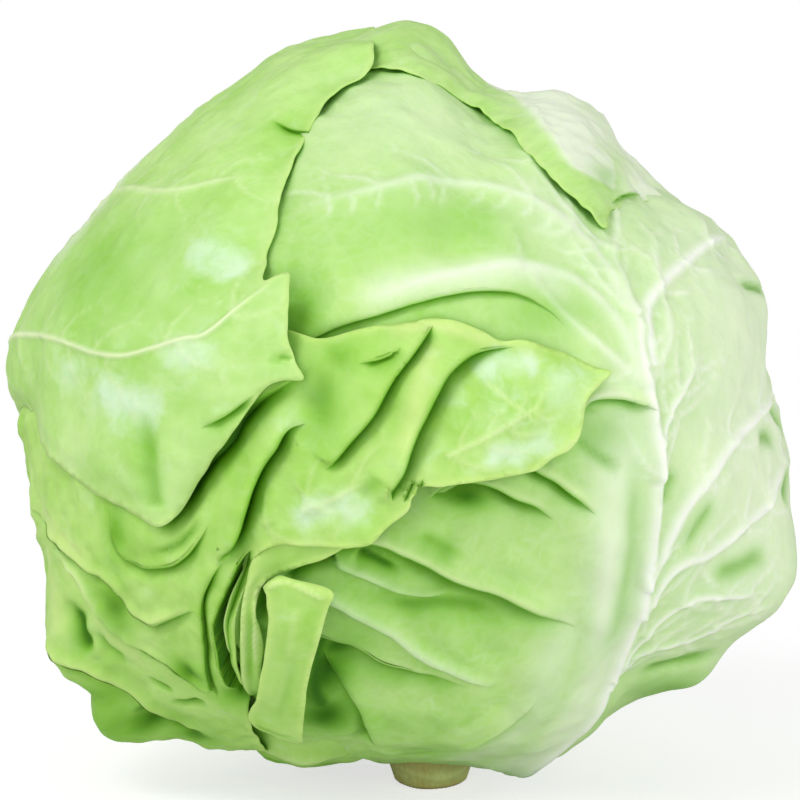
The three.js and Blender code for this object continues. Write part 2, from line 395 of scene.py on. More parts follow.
def triangulate(edge, points):
    loop = [(i, (i + 1) % len(edge)) for i in range(len(edge))]
    out = delaunay_2d_cdt([Vector(p) for p in np.vstack([edge, points])], loop, [], 0, SAME_POINT, False)
    chart, faces = np.array([tuple(v) for v in out[0]]), np.array(out[2])
    return chart, faces[inside(chart[faces].mean(axis=1), edge)]


# %% A closed sheet
def vertex_normals(points, faces):
    a, b, c = (points[faces[:, k]] for k in range(3))
    normals = np.zeros_like(points)
    for k in range(3):
        np.add.at(normals, faces[:, k], np.cross(b - a, c - a))
    return normals / np.maximum(np.linalg.norm(normals, axis=1), 1e-12)[:, None]


def closed_sheet(front, back, faces):
    """Two sides and the rim between them."""
    count = len(front)
    forward = set(map(tuple, np.vstack([faces[:, [0, 1]], faces[:, [1, 2]], faces[:, [2, 0]]]).tolist()))
    rim = sorted((a, b) for a, b in forward if (b, a) not in forward)
    sides = faces.tolist() + (faces[:, ::-1] + count).tolist()
    return np.vstack([front, back]), sides + [(b, a, a + count, b + count) for a, b in rim]


# %% A piece that rides on the head
def new_piece(name, points_mm, faces, marks, chart_mm=None):
    """A smooth mesh with the marks, and the place on the leaf, that its material reads."""
    mesh = bpy.data.meshes.new(name)
    mesh.from_pydata((points_mm * MM).tolist(), [], faces)
    mesh.shade_smooth()
    for mark, values in marks.items():
        attribute = mesh.attributes.new(mark, "FLOAT", "POINT")
        attribute.data.foreach_set("value", values.astype(np.float32))
    if chart_mm is not None:
        attribute = mesh.attributes.new("chart", "FLOAT_VECTOR", "POINT")
        flat = np.column_stack([chart_mm * MM, np.zeros(len(chart_mm))])
        attribute.data.foreach_set("vector", flat.astype(np.float32).ravel())
    piece = bpy.data.objects.new(name, mesh)
    bpy.context.scene.collection.objects.link(piece)
    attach(piece, "root")
    print(name, len(points_mm), "points,", len(faces), "faces")
    return piece


# %% Making one leaf
EDGE_MARK_MM = 1.2
THIN_MARGIN_MM = 6.0
MARGIN_SHARE = 0.4  # of the leaf's thickness that is left at its margin
MARGIN_WAVES = 8
MARGIN_WAVE_MM = (6, 45)  # the shortest and the longest


def ragged(edge, amount_mm, seed):
    """The margin with small uneven waves."""
    rng = np.random.default_rng(seed)
    run = np.arange(len(edge)) * LINE_STEP_MM
    lengths = rng.uniform(*MARGIN_WAVE_MM, MARGIN_WAVES)
    phases = rng.uniform(0, 2 * np.pi, MARGIN_WAVES)
    waves = sum(np.sin(2 * np.pi * run / length + phase) for length, phase in zip(lengths, phases))
    return edge - normals_of(edge) * (amount_mm * waves / 2 / ARC_MM)[:, None]


def make_leaf(name, facing, depth, outline, forms, step=1.5, thickness=0.8, jag=0.15, seed=0, fine=()):
    edge = ragged(smooth_line(outline, closed=True), jag, seed)
    lined = [form for form in forms if hasattr(form, "line")]
    chart, faces = triangulate(edge, leaf_points(edge, step, lined, fine))
    from_edge = np.abs(beside(chart, np.vstack([edge, edge[:1]]), 10)[0])
    surface = Surface(chart)
    surface.mark("edge", bell(from_edge, EDGE_MARK_MM))
    for form in forms:
        form(surface)
    direction = chart_direction(facing, chart + surface.shift)
    radius = head_radius(direction) - depth + surface.height
    front = HEAD_CENTRE + direction * radius[:, None]
    sheet = thickness * (MARGIN_SHARE + (1 - MARGIN_SHARE) * smoothstep(0, THIN_MARGIN_MM, from_edge))
    back = front - vertex_normals(front, faces) * sheet[:, None]
    points, polygons = closed_sheet(front, back, faces)
    marks = {mark: np.tile(values, 2) for mark, values in surface.marks.items()}
    return new_piece(name, points, polygons, marks, np.tile(chart, (2, 1)) * ARC_MM)


# %% [markdown]
# ## The left leaf
# The biggest smooth leaf, wrapped over the upper left. One bright vein crosses it, and its free edge is
# pressed down on the leaf below, which leaves only a thin line of shadow.

# %% The left leaf
LEFT_MIDRIB = [(-30, -80), (-34, -45), (-33, -10), (-24, 30), (-10, 66)]
LEFT_VEIN = [(-32, -6), (-18, 5), (-6, 9.5), (8, 11), (18.5, 11), (27.5, 10), (34, 10), (39, 11.5),
             (44, 13.5), (47, 14.5), (50.5, 19), (55, 25)]
UPPER_VEIN = [(-27, 20), (-6, 34.5), (10, 36.5), (25.5, 36.5), (32, 39), (38.5, 42), (41.5, 44.5)]
left_leaf = make_leaf(
    "left_leaf_skin", facing=-75, depth=0, seed=11, step=1.3, jag=0.1,
    outline=[
        # the lower edge and the torn tip
        (-20, -85), (-18, -46), (-15, -18), (-8, -3), (2.5, -0.5), (10.5, -4), (20, -7.5), (28, -10.5),
        (33.5, -12), (37.5, -13.5), (40.5, -14), (43.5, -12), (48, -6), (52.5, 0), (54, 2.5), (55.5, 5),
        (57.5, 7.5), (59.5, 8.5), (62, 9), (60, 12.5), (59, 15), (57.5, 21.5), (56, 25.5), (54.5, 25),
        # the free edge up to the crown
        (52.5, 24), (50, 28), (49, 30.5), (48, 35), (45.5, 39.5), (42.5, 47), (38.5, 54.5), (35.5, 60.5),
        (34, 64), (33, 67), (33, 70), (30, 74.5), (18, 80.5), (2, 86), (-14, 85),
        # round the back
        (-30, 74), (-54, 56), (-68, 30), (-72, 2), (-66, -28), (-57, -54), (-45, -74), (-32, -84),
    ],
    forms=[
        swelling((4, 72), 2.8, (22, 14)),
        swelling((-4, 53), 1.4, (20, 10)),
        swelling((14, 83), -5, (13, 9)),
        swelling((-6, 5.5), 3.2, (10, 7)),
        rib(LEFT_MIDRIB, 2, 4.5),
        *side_veins(LEFT_MIDRIB, 6, 50, 55, 0.8, 1.8, 0.7, seed=101, sides=(1,)),
        rib(LEFT_VEIN, 0.9, 1.1, ends=(0.01, 0.1), crisp=True),
        *side_veins(LEFT_VEIN, 9, 55, 24, 0.25, 0.8, 0.35, seed=102, forks=2),
        rib(UPPER_VEIN, 0.5, 1.8, 0.6, ends=(0.05, 0.15), crisp=True),
        *side_veins(UPPER_VEIN, 8, 60, 20, 0.2, 0.9, 0.3, seed=103, forks=2),
        streak([(-2, 18), (-2, 27), (-6, 36), (-5, 43), (-4, 50), (-2, 58)], 9, 0.6),
        # Painted shade in these small folds and grooves.
        pleat([(48, 0.5), (51, 2), (53.5, 4), (55.5, 6)], 0.5, 1.4, 4, 4, lap=0.3, tuck=0.3, hollow=0.6),
        pleat([(31, 54), (35, 54), (38.5, 55)], 0.4, 0.8, 3, 3, lap=0.3, tuck=0.2, ends=(0.5, 0.01)),
        groove([(57, 11), (58.5, 12), (60, 12.5)], 0.8, 0.9, hollow=0.6, ends=(0.5, 0.01)),
        groove([(38, 3), (39.5, -4), (39.5, -11.5)], 1.8, 3.0, hollow=0.45, ends=(0.4, 0.05)),
        swelling((57, 18), 2, (4, 9)),
        # Painted highlights in the pale blue of the wax bloom, and painted shade in the middle.
        streak([(37, 27), (42, 27), (49, 25)], 6, 0.9, "bloom"),
        streak([(42, 30), (45, 24)], 5, 0.6, "bloom"),
        stain((45, 10.5), (5, 3.5), bloom=0.9),
        streak([(27, 6.5), (32, 4), (38, 2.5), (43, 1.5)], 6, 0.9, "bloom"),
        stain((22, 6.5), (5, 3), bloom=0.6),
        stain((22, 22), (14, 9), hollow=0.25),
        # The free edge bends down to the leaf below.
        groove([(54.5, 25.5), (50, 28), (47.5, 36), (43, 44.5), (38, 55.5), (34, 64), (32, 72), (28, 78)],
               4.6, 9, hollow=0, ends=(0.1, 0.15)),
        groove([(2.5, -0.5), (10.5, -4), (20, -7.5), (31.5, -11), (39, -14)], 1.3, 5, hollow=0,
               ends=(0.05, 0.1)),
        groove([(-18, -14), (-10, -5), (-3, -1.5), (3, -1), (8, -3)], 2.6, 4, hollow=0),
        streak([(4, -1.5), (10.5, -4.5), (20, -8), (28, -11), (36, -13)], 1.6, 0.5, "edge"),
        groove([(-20, -80), (-18, -46), (-15, -18), (-8, -3)], 2.8, 9, hollow=0, ends=(0.1, 0.05)),
        groove([(42, -14), (46, -9), (50.5, -3), (54, 2.5), (59.5, 8.5)], 1.2, 3.0, hollow=0.1,
               ends=(0.1, 0.2)),
        ripples(0.35, 26, seed=1),
        ripples(0.1, 7, seed=21),
    ],
)

# %% [markdown]
# ## The crown leaf
# It lies over the top and the right of the back, and shows its edge above the right leaf. Behind the fold
# that runs along this edge it got hardly any light, so it is nearly white.

# %% The crown leaf
CROWN_MIDRIB = [(0, -78), (-2, -20), (-8, 40), (-16, 78)]
crown_leaf = make_leaf(
    "crown_leaf_skin", facing=140, depth=2.94, seed=12, step=1.5, jag=0.1,
    outline=[
        (-12, -83), (10, -83), (30, -67), (47, -44), (58, -16), (62, 16), (56, 46), (42, 76), (28, 98),
        (10, 112),
        # the edge over the right leaf
        (-8, 112.5), (-18, 110), (-25.5, 107.5), (-36, 102.5), (-39.5, 97), (-44, 90.5), (-58.5, 84),
        (-71.5, 76.5), (-79.5, 68), (-82.5, 60), (-85, 51.5), (-80.5, 53), (-77, 53.5), (-69.5, 51),
        (-60, 47),
        # down the back
        (-53, 38), (-46, 26), (-40, 8), (-36, -8), (-33, -34), (-28, -60),
    ],
    forms=[
        swelling((-9, 90), 5.8, (10, 13)),
        swelling((-37, 60), 2.4, (9, 12)),
        swelling((-47, 46), -1.5, (6, 8)),
        rib(CROWN_MIDRIB, 2.4, 5),
        *side_veins(CROWN_MIDRIB, 9, 52, 62, 0.8, 1.9, 0.75, seed=104),
        groove([(-8, 112), (-25, 107), (-36, 102), (-44, 90.5), (-58, 84), (-71.5, 76.5), (-80, 67),
                (-84, 55)], 1.3,
               4, hollow=0, ends=(0.05, 0.05)),
        groove([(-86, 54), (-80, 52.5), (-69, 50.5), (-60, 46), (-46, 26), (-40, 8), (-36, -8)], 2.4, 7,
               hollow=0, ends=(0.02, 0.3)),
        # The fold along the edge, and the pale skin behind it.
        rib([(-10, 91), (-18, 89), (-30, 84), (-52, 79), (-64.5, 75.5), (-74, 67), (-76.5, 60)], 0.9, 3.0,
            0, ends=(0.2, 0.3)),
        streak([(-8, 79), (-20.5, 79), (-36, 81), (-50.5, 80), (-64.5, 75.5), (-74.5, 66), (-71, 56)], 26,
               1.6, side=1, ends=(0.1, 0.01)),
        stain((-34, 72), (14, 9), pale=1.0),
        stain((-50, 66), (14, 10), pale=1.0),
        stain((-58, 50), (14, 10), pale=1.0),
        stain((-40, 56), (18, 18), pale=1.0),
        # Painted shade in the small fold by the tip of the edge.
        pleat([(-76, 55), (-70, 54), (-62, 50.5)], 0.6, 1.4, 3, 3, lap=0.4, hollow=0.5),
        stain((-70, 60), (4, 3), hollow=0.35),
        ripples(0.35, 24, seed=2),
        ripples(0.12, 8, seed=22),
    ],
)

# %% [markdown]
# ## The right leaf
# It has the broad pale midrib. Above the front leaf it bulges into a smooth lobe with a lip, and left of
# the midrib its blade is pressed together in soft pleats that fan out from the midrib.

# %% The right leaf's veins
MIDRIB = [(5, -72), (4, -63.5), (3, -55), (1.5, -46.5), (-0.5, -39), (-3, -30.5), (-5, -21), (-6, -13),
          (-6.5, -5), (-7.5, 2.5), (-8.5, 9.5), (-7.5, 17.5), (-5.5, 30), (-2, 40)]
LOBE_MIDRIB = MIDRIB[9:]  # its upper part, from the front leaf's tip on
RIGHT_VEINS = [  # each with its height and width
    ([(-7, 8), (-5.5, 16), (-0.5, 20), (9.5, 24), (20, 27), (34, 28.5)], 1.1, 2.1),
    ([(-4.5, -24), (-3, -19), (-2, -14.5), (1.5, -10), (8, -5), (15, -2), (25, 0.5), (38, 2)], 1.3, 2.2),
    ([(-2.5, -29), (-1, -22.5), (2, -20), (8.5, -19), (14.5, -15.5), (20.5, -13.5), (25, -10.5), (34, -6)],
     1.1, 1.9),
    ([(-6.5, -8), (-6.5, -4), (-4, 1), (-0.5, 5.5), (3, 9)], 1.0, 1.7),
    ([(0.5, -42), (2, -36), (3, -31), (6.5, -27), (13, -26), (22, -25.5)], 0.7, 1.3),
    ([(1.5, -44), (4.5, -38), (9, -36), (15, -34), (18.5, -29.5), (24.5, -27)], 0.7, 1.3),
]
SWEEPING_VEINS = [
    [(-8.5, 4), (-9, 7.5), (-10.5, 14), (-13, 19.5), (-17.5, 23.5), (-24.5, 25), (-30.5, 25), (-38, 24),
     (-51, 20.5)],
    [(-7.5, 14), (-8.5, 18.5), (-9, 25.5), (-12, 31.5), (-18, 36), (-24.5, 40.5), (-33, 41.5), (-41, 40.5),
     (-58, 40.5)],
]
# The last number of each crease is how much shade is painted into it.
SMALL_CREASES = [  # near the free edge, each with its depth, its width and how dark it is
    ([(22, 19.5), (27, 19), (33, 18), (37, 17)], 1.2, 1.5, 0.7),
    ([(33, 18), (34, 15.5), (33.5, 12)], 0.8, 1.6, 0.5),
    ([(19.5, -4.5), (23, -4), (28.5, -5)], 0.8, 2.2, 0.6),
    ([(29, 0.5), (33, -2), (37.5, -4)], 1.4, 2.0, 0.65),
    ([(26.5, -14), (30, -11.5), (33.5, -10)], 1.4, 2.2, 0.65),
    ([(-5, -11.5), (-4.5, -9), (-3, -6)], 0.7, 2.0, 0.5),
    ([(0.5, -18), (2, -15.5), (6, -11)], 0.6, 2.2, 0.5),
    ([(9, -23), (13, -22), (17.5, -20.5), (21, -20.5)], 0.8, 2.6, 0.55),
    ([(8, -42.5), (14.5, -41), (20, -39), (24, -37)], 1.4, 2.4, 0.7),
]

# %% The right leaf
right_leaf = make_leaf(
    "right_leaf_skin", facing=45, depth=5.88, seed=13, step=1.3, fine=[((-32, -32), 29, 0.9)],
    outline=[
        (-20, -86), (2, -82), (14, -68), (20, -56), (26, -43), (31, -36), (42, -28), (52, -18), (68, -5),
        (76, 14), (71, 36), (58, 56), (40, 72), (16, 84), (-12, 84), (-34, 75), (-52, 58), (-64, 40),
        (-68, 22), (-66, 2), (-66, -14), (-66, -24), (-63.5, -34), (-61, -44), (-55, -56), (-45, -69),
        (-34, -82),
    ],
    forms=[
        swelling((-5, 80), 4.5, (15, 15)),
        swelling((8, -66), 4.5, (11, 14)),
        swelling((-17, -79), 2.4, (14, 8)),
        swelling((31, -27), 12, (15, 11)),
        swelling((25, -44), 8.5, (9, 7)),
        swelling((36, -8), 3.2, (10, 6)),
        swelling((36, 8), -2, (10, 5)),
        swelling((36, 19), 1.4, (10, 6)),
        swelling((30, 32), 3.5, (14, 9)),
        swelling((-40, -22), -5, (20, 26)),
        swelling((-56, 0), -5, (14, 14)),
        swelling((-36, 4), -4, (14, 8)),
        # The midrib: a broad pale band between two ridges, with a channel in it that painted shade makes
        # greener.
        streak([(3, -76), (1, -60), (-2, -48), (-4, -36), (-7.5, -27), (-10.5, -17), (-12, -4), (-9, 10),
                (-3, 24)],
               11, 0.75, ends=(0.01, 0.3)),
        streak([(-8, -70), (-9, -62), (-10, -54), (-11.5, -46), (-14, -37), (-14.5, -28), (-15, -18)], 8,
               0.5, ends=(0.01, 0.3)),
        rib([(0, -70), (-3, -56), (-5, -46), (-6, -36), (-8, -27), (-11, -17), (-12, -6)], 1.2, 8, 0,
            ends=(0.01, 0.25)),
        rib(MIDRIB, 2.0, 2.7, 1.0, ends=(0.01, 0.35), crisp=True),
        rib([(-8, -40), (-9, -34), (-10, -28), (-12.5, -19.5), (-15.5, -10)], 0.6, 3.6, 0.3,
            ends=(0.4, 0.3)),
        groove([(-4.5, -38), (-7, -28), (-8.5, -19.5), (-9.5, -13), (-10, -7.5), (-10.5, -2)], 0.5, 2.8,
               hollow=0.34),
        *[rib(vein, height, width, 0.95, ends=(0.01, 0.25), crisp=True) for vein, height,
          width in RIGHT_VEINS],
        *[form for i, (vein, _, width) in enumerate(RIGHT_VEINS)
          for form in side_veins(vein, 5, 40, 20, 0.35, 1.0, 0.5, seed=110 + i, forks=2)],
        stain((22, 2), (34, 50), pale=0.8),
        # The smooth lobe above the lip, with two faint veins that sweep to the left.
        *[rib(vein, 0.6, 2.6, 0.5, ends=(0.05, 0.3)) for vein in SWEEPING_VEINS],
        *side_veins(SWEEPING_VEINS[1], 14, 78, 14, 0.25, 1.1, 0.4, seed=120, sides=(1,), forks=0),
        *side_veins(SWEEPING_VEINS[1], 6, 50, 26, 0.25, 1.2, 0.35, seed=122, sides=(-1,), forks=2),
        *side_veins(LOBE_MIDRIB, 4, 40, 40, 0.5, 1.6, 0.5, seed=121, forks=2),
        pleat([(-61, 14), (-57, 15.5), (-52, 17.5), (-47.5, 18.5), (-40.5, 20), (-34.5, 21), (-29, 21),
               (-25, 20), (-22.5, 18.5), (-20.5, 16.5), (-19, 14)], 0.6, 1.3, 10, 8, lap=0.4, tuck=0.3,
               hollow=0.65,
              shade=1.2, ends=(0.15, 0.3)),
        # A painted highlight on the bulge above the lip.
        streak([(-52, 19.5), (-44, 23), (-32, 24), (-24, 24), (-19, 21), (-16, 14.5)], 5, 0.6),
        stain((-26, 56), (32, 20), pale=0.4),
        # Painted shade in these small patches.
        stain((-23, 17), (5, 3), hollow=0.3),
        stain((-57.5, 20), (2.5, 5), hollow=0.5),
        stain((-35, 33), (12, 5), hollow=0.2),
        stain((-14, 34), (12, 14), pale=0.5),
        # The small pocket beside the midrib, with painted shade in it and a painted highlight on its crest.
        pleat([(-18.5, 2), (-17, 4), (-12.5, 4), (-9, 3), (-7, 2)], 1.2, 2.4, 3, 7, lap=0.5, tuck=0.4,
              hollow=0.4, rim=0.5, ends=(0.15, 0.3)),
        rib([(-18, 3.5), (-16, 5), (-12.5, 5), (-9.5, 4)], 0.2, 1.2, 0.8),
        groove([(-20, -0.5), (-18, -2), (-14.5, -4.5), (-11.5, -6)], 1.6, 1.8, hollow=0.5),
        stain((-15, -0.5), (4, 3), hollow=0.35),
        # The pleats left of the midrib, from the top down, with painted shade in their grooves and painted
        # highlights along some crests.
        pleat([(-33, -5), (-30, -4.5), (-27, -5), (-24.5, -6.5), (-22.5, -7.5), (-20.5, -9), (-17.5, -11),
               (-15.5, -12.5)], 1.4, 2.6, 3, 5, lap=0.5, tuck=0.4, hollow=0.8, shade=1.6, rim=0.6,
              ends=(0.05, 0.3)),
        pleat([(-40, -11), (-38, -9), (-35, -8), (-31.5, -8.5), (-27.5, -10.5), (-24.5, -11.5),
               (-21.5, -13.5)],
              1.2, 4.5, 3, 7, lap=0.5, tuck=0.5, hollow=1.0, rim=0.5, ends=(0.1, 0.3)),
        swelling((-34.5, -10.5), -1.2, (4.2, 2.4), hollow=1.0),
        groove([(-41.5, -17), (-37.5, -19), (-34.5, -21)], 0.6, 2.4, hollow=0.45),
        pleat([(-56, -21), (-52.5, -19.5), (-46.5, -19.5), (-42.5, -21), (-39, -22.5), (-33.5, -25),
               (-26.5, -26.5), (-19, -29), (-12, -31.5)], 1.8, 3.8, 6, 9, lap=0.6, tuck=0.6, rim=0.6,
               hollow=0.85, shade=5,
              ends=(0.08, 0.3)),
        groove([(-50, -21.5), (-47, -22.5), (-44, -24), (-41.5, -25)], 1.8, 2.4, hollow=1.0,
               ends=(0.1, 0.4)),
        groove([(-46, -29), (-40, -31), (-35, -29.5), (-29, -29.5), (-23, -31)], 1.4, 4, hollow=0.7),
        streak([(-48, -27.5), (-42, -30), (-36, -30), (-28, -30), (-22, -31.5)], 4, 0.4, "hollow"),
        streak([(-54, -41), (-48, -44), (-40, -45.5), (-32, -46)], 3, 0.4, "hollow"),
        rib([(-57, -21.5), (-53.5, -22.5), (-50.5, -24), (-47.5, -25), (-43.5, -27), (-40.5, -28),
             (-37, -28), (-33.5, -26.5)], 2.0, 1.6, 0.3, ends=(0.1, 0.2), crisp=True),
        groove([(-59, -26.5), (-57, -24.5), (-54.5, -23), (-52.5, -22)], 3.0, 2.4, hollow=1.0,
               ends=(0.02, 0.1)),
        groove([(-64, -26), (-63, -30), (-62, -33.5), (-61, -38)], 4, 2.8, hollow=1.0, ends=(0.1, 0.3)),
        rib([(-62.5, -27.5), (-60, -26.5), (-56.5, -27.5), (-53, -29), (-48, -32.5), (-41.5, -36),
             (-37.5, -38), (-32.5, -40), (-25, -42), (-18.5, -43)], 2.2, 2.0, 0.42, ends=(0.02, 0.25),
             crisp=True),
        swelling((-54, -29.5), 1.5, (5, 2.5)),
        pleat([(-53.5, -38), (-51.5, -39), (-47, -41), (-40, -43), (-32.5, -43.5), (-25, -44)], 0.5, 4.2,
              3.5, 8, lap=0.4, tuck=0.5, rim=0.25, hollow=1.0, shade=3.5, ends=(0.05, 0.35)),
        swelling((-48, -43), -1.5, (4.5, 3), hollow=1.0),
        pleat([(-50, -43.5), (-48, -46), (-44.5, -50), (-37, -57.5), (-29, -68)], 1.2, 4.0, 6, 8, lap=0.5,
              hollow=0.9, shade=4, ends=(0.15, 0.1)),
        swelling((-24, -57), 2.6, (13, 9)),
        swelling((-47.5, -50), -2.5, (5, 12), hollow=1.0),
        streak([(-51.5, -40), (-50, -46), (-47, -55), (-41, -63)], 4.2, 1.0, "hollow", ends=(0.05, 0.2)),
        swelling((-42, -61), -1, (5, 6), hollow=1.0),
        pleat([(-30, -71.5), (-20, -70), (-17, -63), (-15, -56), (-13, -50), (-12.5, -44)], 0.8, 1.2, 5, 5,
              lap=0.3, tuck=0.2, hollow=0.25, shade=3),
        *[groove(line, depth, width, hollow) for line, depth, width, hollow in SMALL_CREASES],
        # Painted shade in a small patch.
        stain((20, -46), (7, 4), hollow=0.5),
        ripples(0.35, 24, seed=3),
        ripples(0.12, 8, seed=23),
    ],
)

# %% [markdown]
# ## The front leaf
# The crumpled leaf: it was squeezed into pleats, each lapping over the next to its right, and its lower
# left hangs in loose swags. Its forms are listed region by region, so that each cell stays short.

# %% The front leaf: the pleats of the upper part, from the left
TIP_SLOTS = [[(0.5, -9), (1, -8), (2, -6)], [(2, -8.5), (2.5, -7.5), (3, -6)]]
# Every pleat and slot here has painted shade in its groove.
UPPER_PLEATS = [
    pleat([(-35.5, -14), (-34, -12.5), (-31, -9.5), (-28, -5.5), (-24.5, -2), (-22.5, 1.5), (-20.5, 3.5),
           (-18.5, 5), (-16, 6.5), (-14, 8), (-11.5, 9.5)], 0, 4.6, 5, 8, lap=0, tuck=0.3, hollow=1.0,
           shade=2.9,
          ends=(0.05, 0.35)),
    swelling((-10.5, 4.5), -0.8, (2.8, 5), hollow=0.6),
    stain((-8, 10.5), (2.6, 2.4), hollow=0.45),
    pleat([(-26, -19.5), (-24.5, -17.5), (-22.5, -15.5), (-21, -11.5), (-19.5, -7), (-18, -4), (-16.5, -2),
           (-15, 0.5), (-12.5, 1.5)], 2.4, 4.2, 5, 6, lap=1.2, tuck=0.9, hollow=1.0, shade=1.5,
           ends=(0.2, 0.2)),
    pleat([(-10, -4.5), (-9, -4), (-6.5, -1), (-3.5, 2.5), (-1, 7), (2, 11), (4, 14), (4.5, 15)], 1.8, 4.6,
          6, 4.8, lap=1.2, tuck=1.0, hollow=1.0, shade=1.4, ends=(0.08, 0.1)),
    pleat([(-5.5, 9.5), (-3, 10), (-1, 11), (0, 12)], 0.6, 1.4, 2.5, 3, lap=0.4, tuck=0.2, hollow=0.6),
    pleat([(-1, -9), (-1, -7.5), (0.5, -5), (1.5, -2), (2.5, 0.5), (3.5, 2.5), (5, 5.5), (6.5, 8),
           (9.5, 10.5), (12.5, 11.5), (16.5, 12)], 2.4, 4.8, 6, 6.5, lap=1.2, tuck=1.0, hollow=1.0,
           shade=1.5,
          ends=(0.06, 0.3)),
    # Painted highlights on two lit crests.
    streak([(5, 13.5), (3.5, 10), (2, 5.5), (1, 1.5), (-1, -3)], 1.8, 0.5),
    streak([(-2, 14), (4, 15), (9, 14), (14, 12.5)], 1.6, 0.5),
    *[pleat(slot, 0.3, 2.2, 1.5, 1.4, lap=0.3, tuck=0.2, hollow=1.0, shade=0.6, ends=(0.2, 0.2))
      for slot in TIP_SLOTS],
    groove([(-5.5, -8.5), (-4, -7), (-3, -5)], 0.8, 1.9, 0.3),
]

# %% The front leaf: its tip, with fine veins and painted highlights in the pale blue of the wax bloom
TIP = [
    swelling((14, 4), 1.0, (8, 8)),
    streak([(9, 8), (14, 9.5), (20, 9)], 4, 0.9, "bloom"),
    streak([(10, -3), (16, -2.5), (22, -0.5)], 4, 0.9, "bloom"),
    stain((16, 4), (11, 8), bloom=0.35),
    stain((23, 6), (5, 5), bloom=0.6),
    streak([(-16, -11.5), (-9, -10), (-2, -10.5)], 4.5, 0.85, "bloom"),
    stain((-14, 1.5), (3, 2), bloom=0.5),
    rib([(-13.5, -10.5), (-9.5, -9), (-6, -7), (-3.5, -6)], 0.3, 1.0, 0.45),
    *side_veins([(-19, -14), (-13.5, -9.5), (-4, -5.5)], 3, 50, 16, 0.2, 0.8, 0.25, seed=131, forks=2),
    rib([(6, -3), (9, -1.5), (12, 0), (15.5, 2), (18, 3.5), (20.5, 6)], 0.4, 0.9, 0.55),
    rib([(11.5, 7), (15, 4), (19.5, 0.5)], 0.3, 0.8, 0.4),
    *side_veins([(7, -4), (13.5, -0.5), (20, 3.5)], 4, 45, 12, 0.2, 0.8, 0.3, seed=132, forks=2),
    rib([(-19.5, -17), (-16.5, -16.5), (-13.5, -16), (-6.5, -16), (-4, -15.5)], 0.8, 0.9, 0.6,
        ends=(0.1, 0.1)),
    rib([(-2, -13.5), (1, -10.5), (3.5, -7.5), (9, -7), (15.5, -6), (21, -4), (25, 0), (26.5, 5),
         (29.5, 8)], 0.6,
        0.7, 0.8, ends=(0.1, 0.1)),
]

# %% The front leaf: the gap in which the pages stand
PAGE_GAP = [  # one step down, then the gap itself
    # Both pleats and the dip below them have painted shade in them.
    pleat([(-29.5, -46), (-30, -41.5), (-30, -37), (-29.5, -33), (-29, -29), (-28.5, -25), (-26.5, -21),
           (-24, -17.5)], 1.2, 1.8, 5, 2.6, lap=0.6, tuck=0.3, hollow=0.85, shade=1.1, ends=(0.15, 0.3)),
    pleat([(-26, -46), (-27, -42), (-27.5, -38), (-27.5, -32), (-27, -28.5), (-25.5, -25), (-23.5, -21),
           (-22, -18), (-20.5, -16.5)], 0.8, 7.0, 2.2, 5.5, lap=0.6, tuck=0.4, hollow=1.0, shade=3.2,
           ends=(0.12, 0.12)),
    swelling((-25.5, -44.5), -3.0, (3.0, 2.2), hollow=1.0),
]

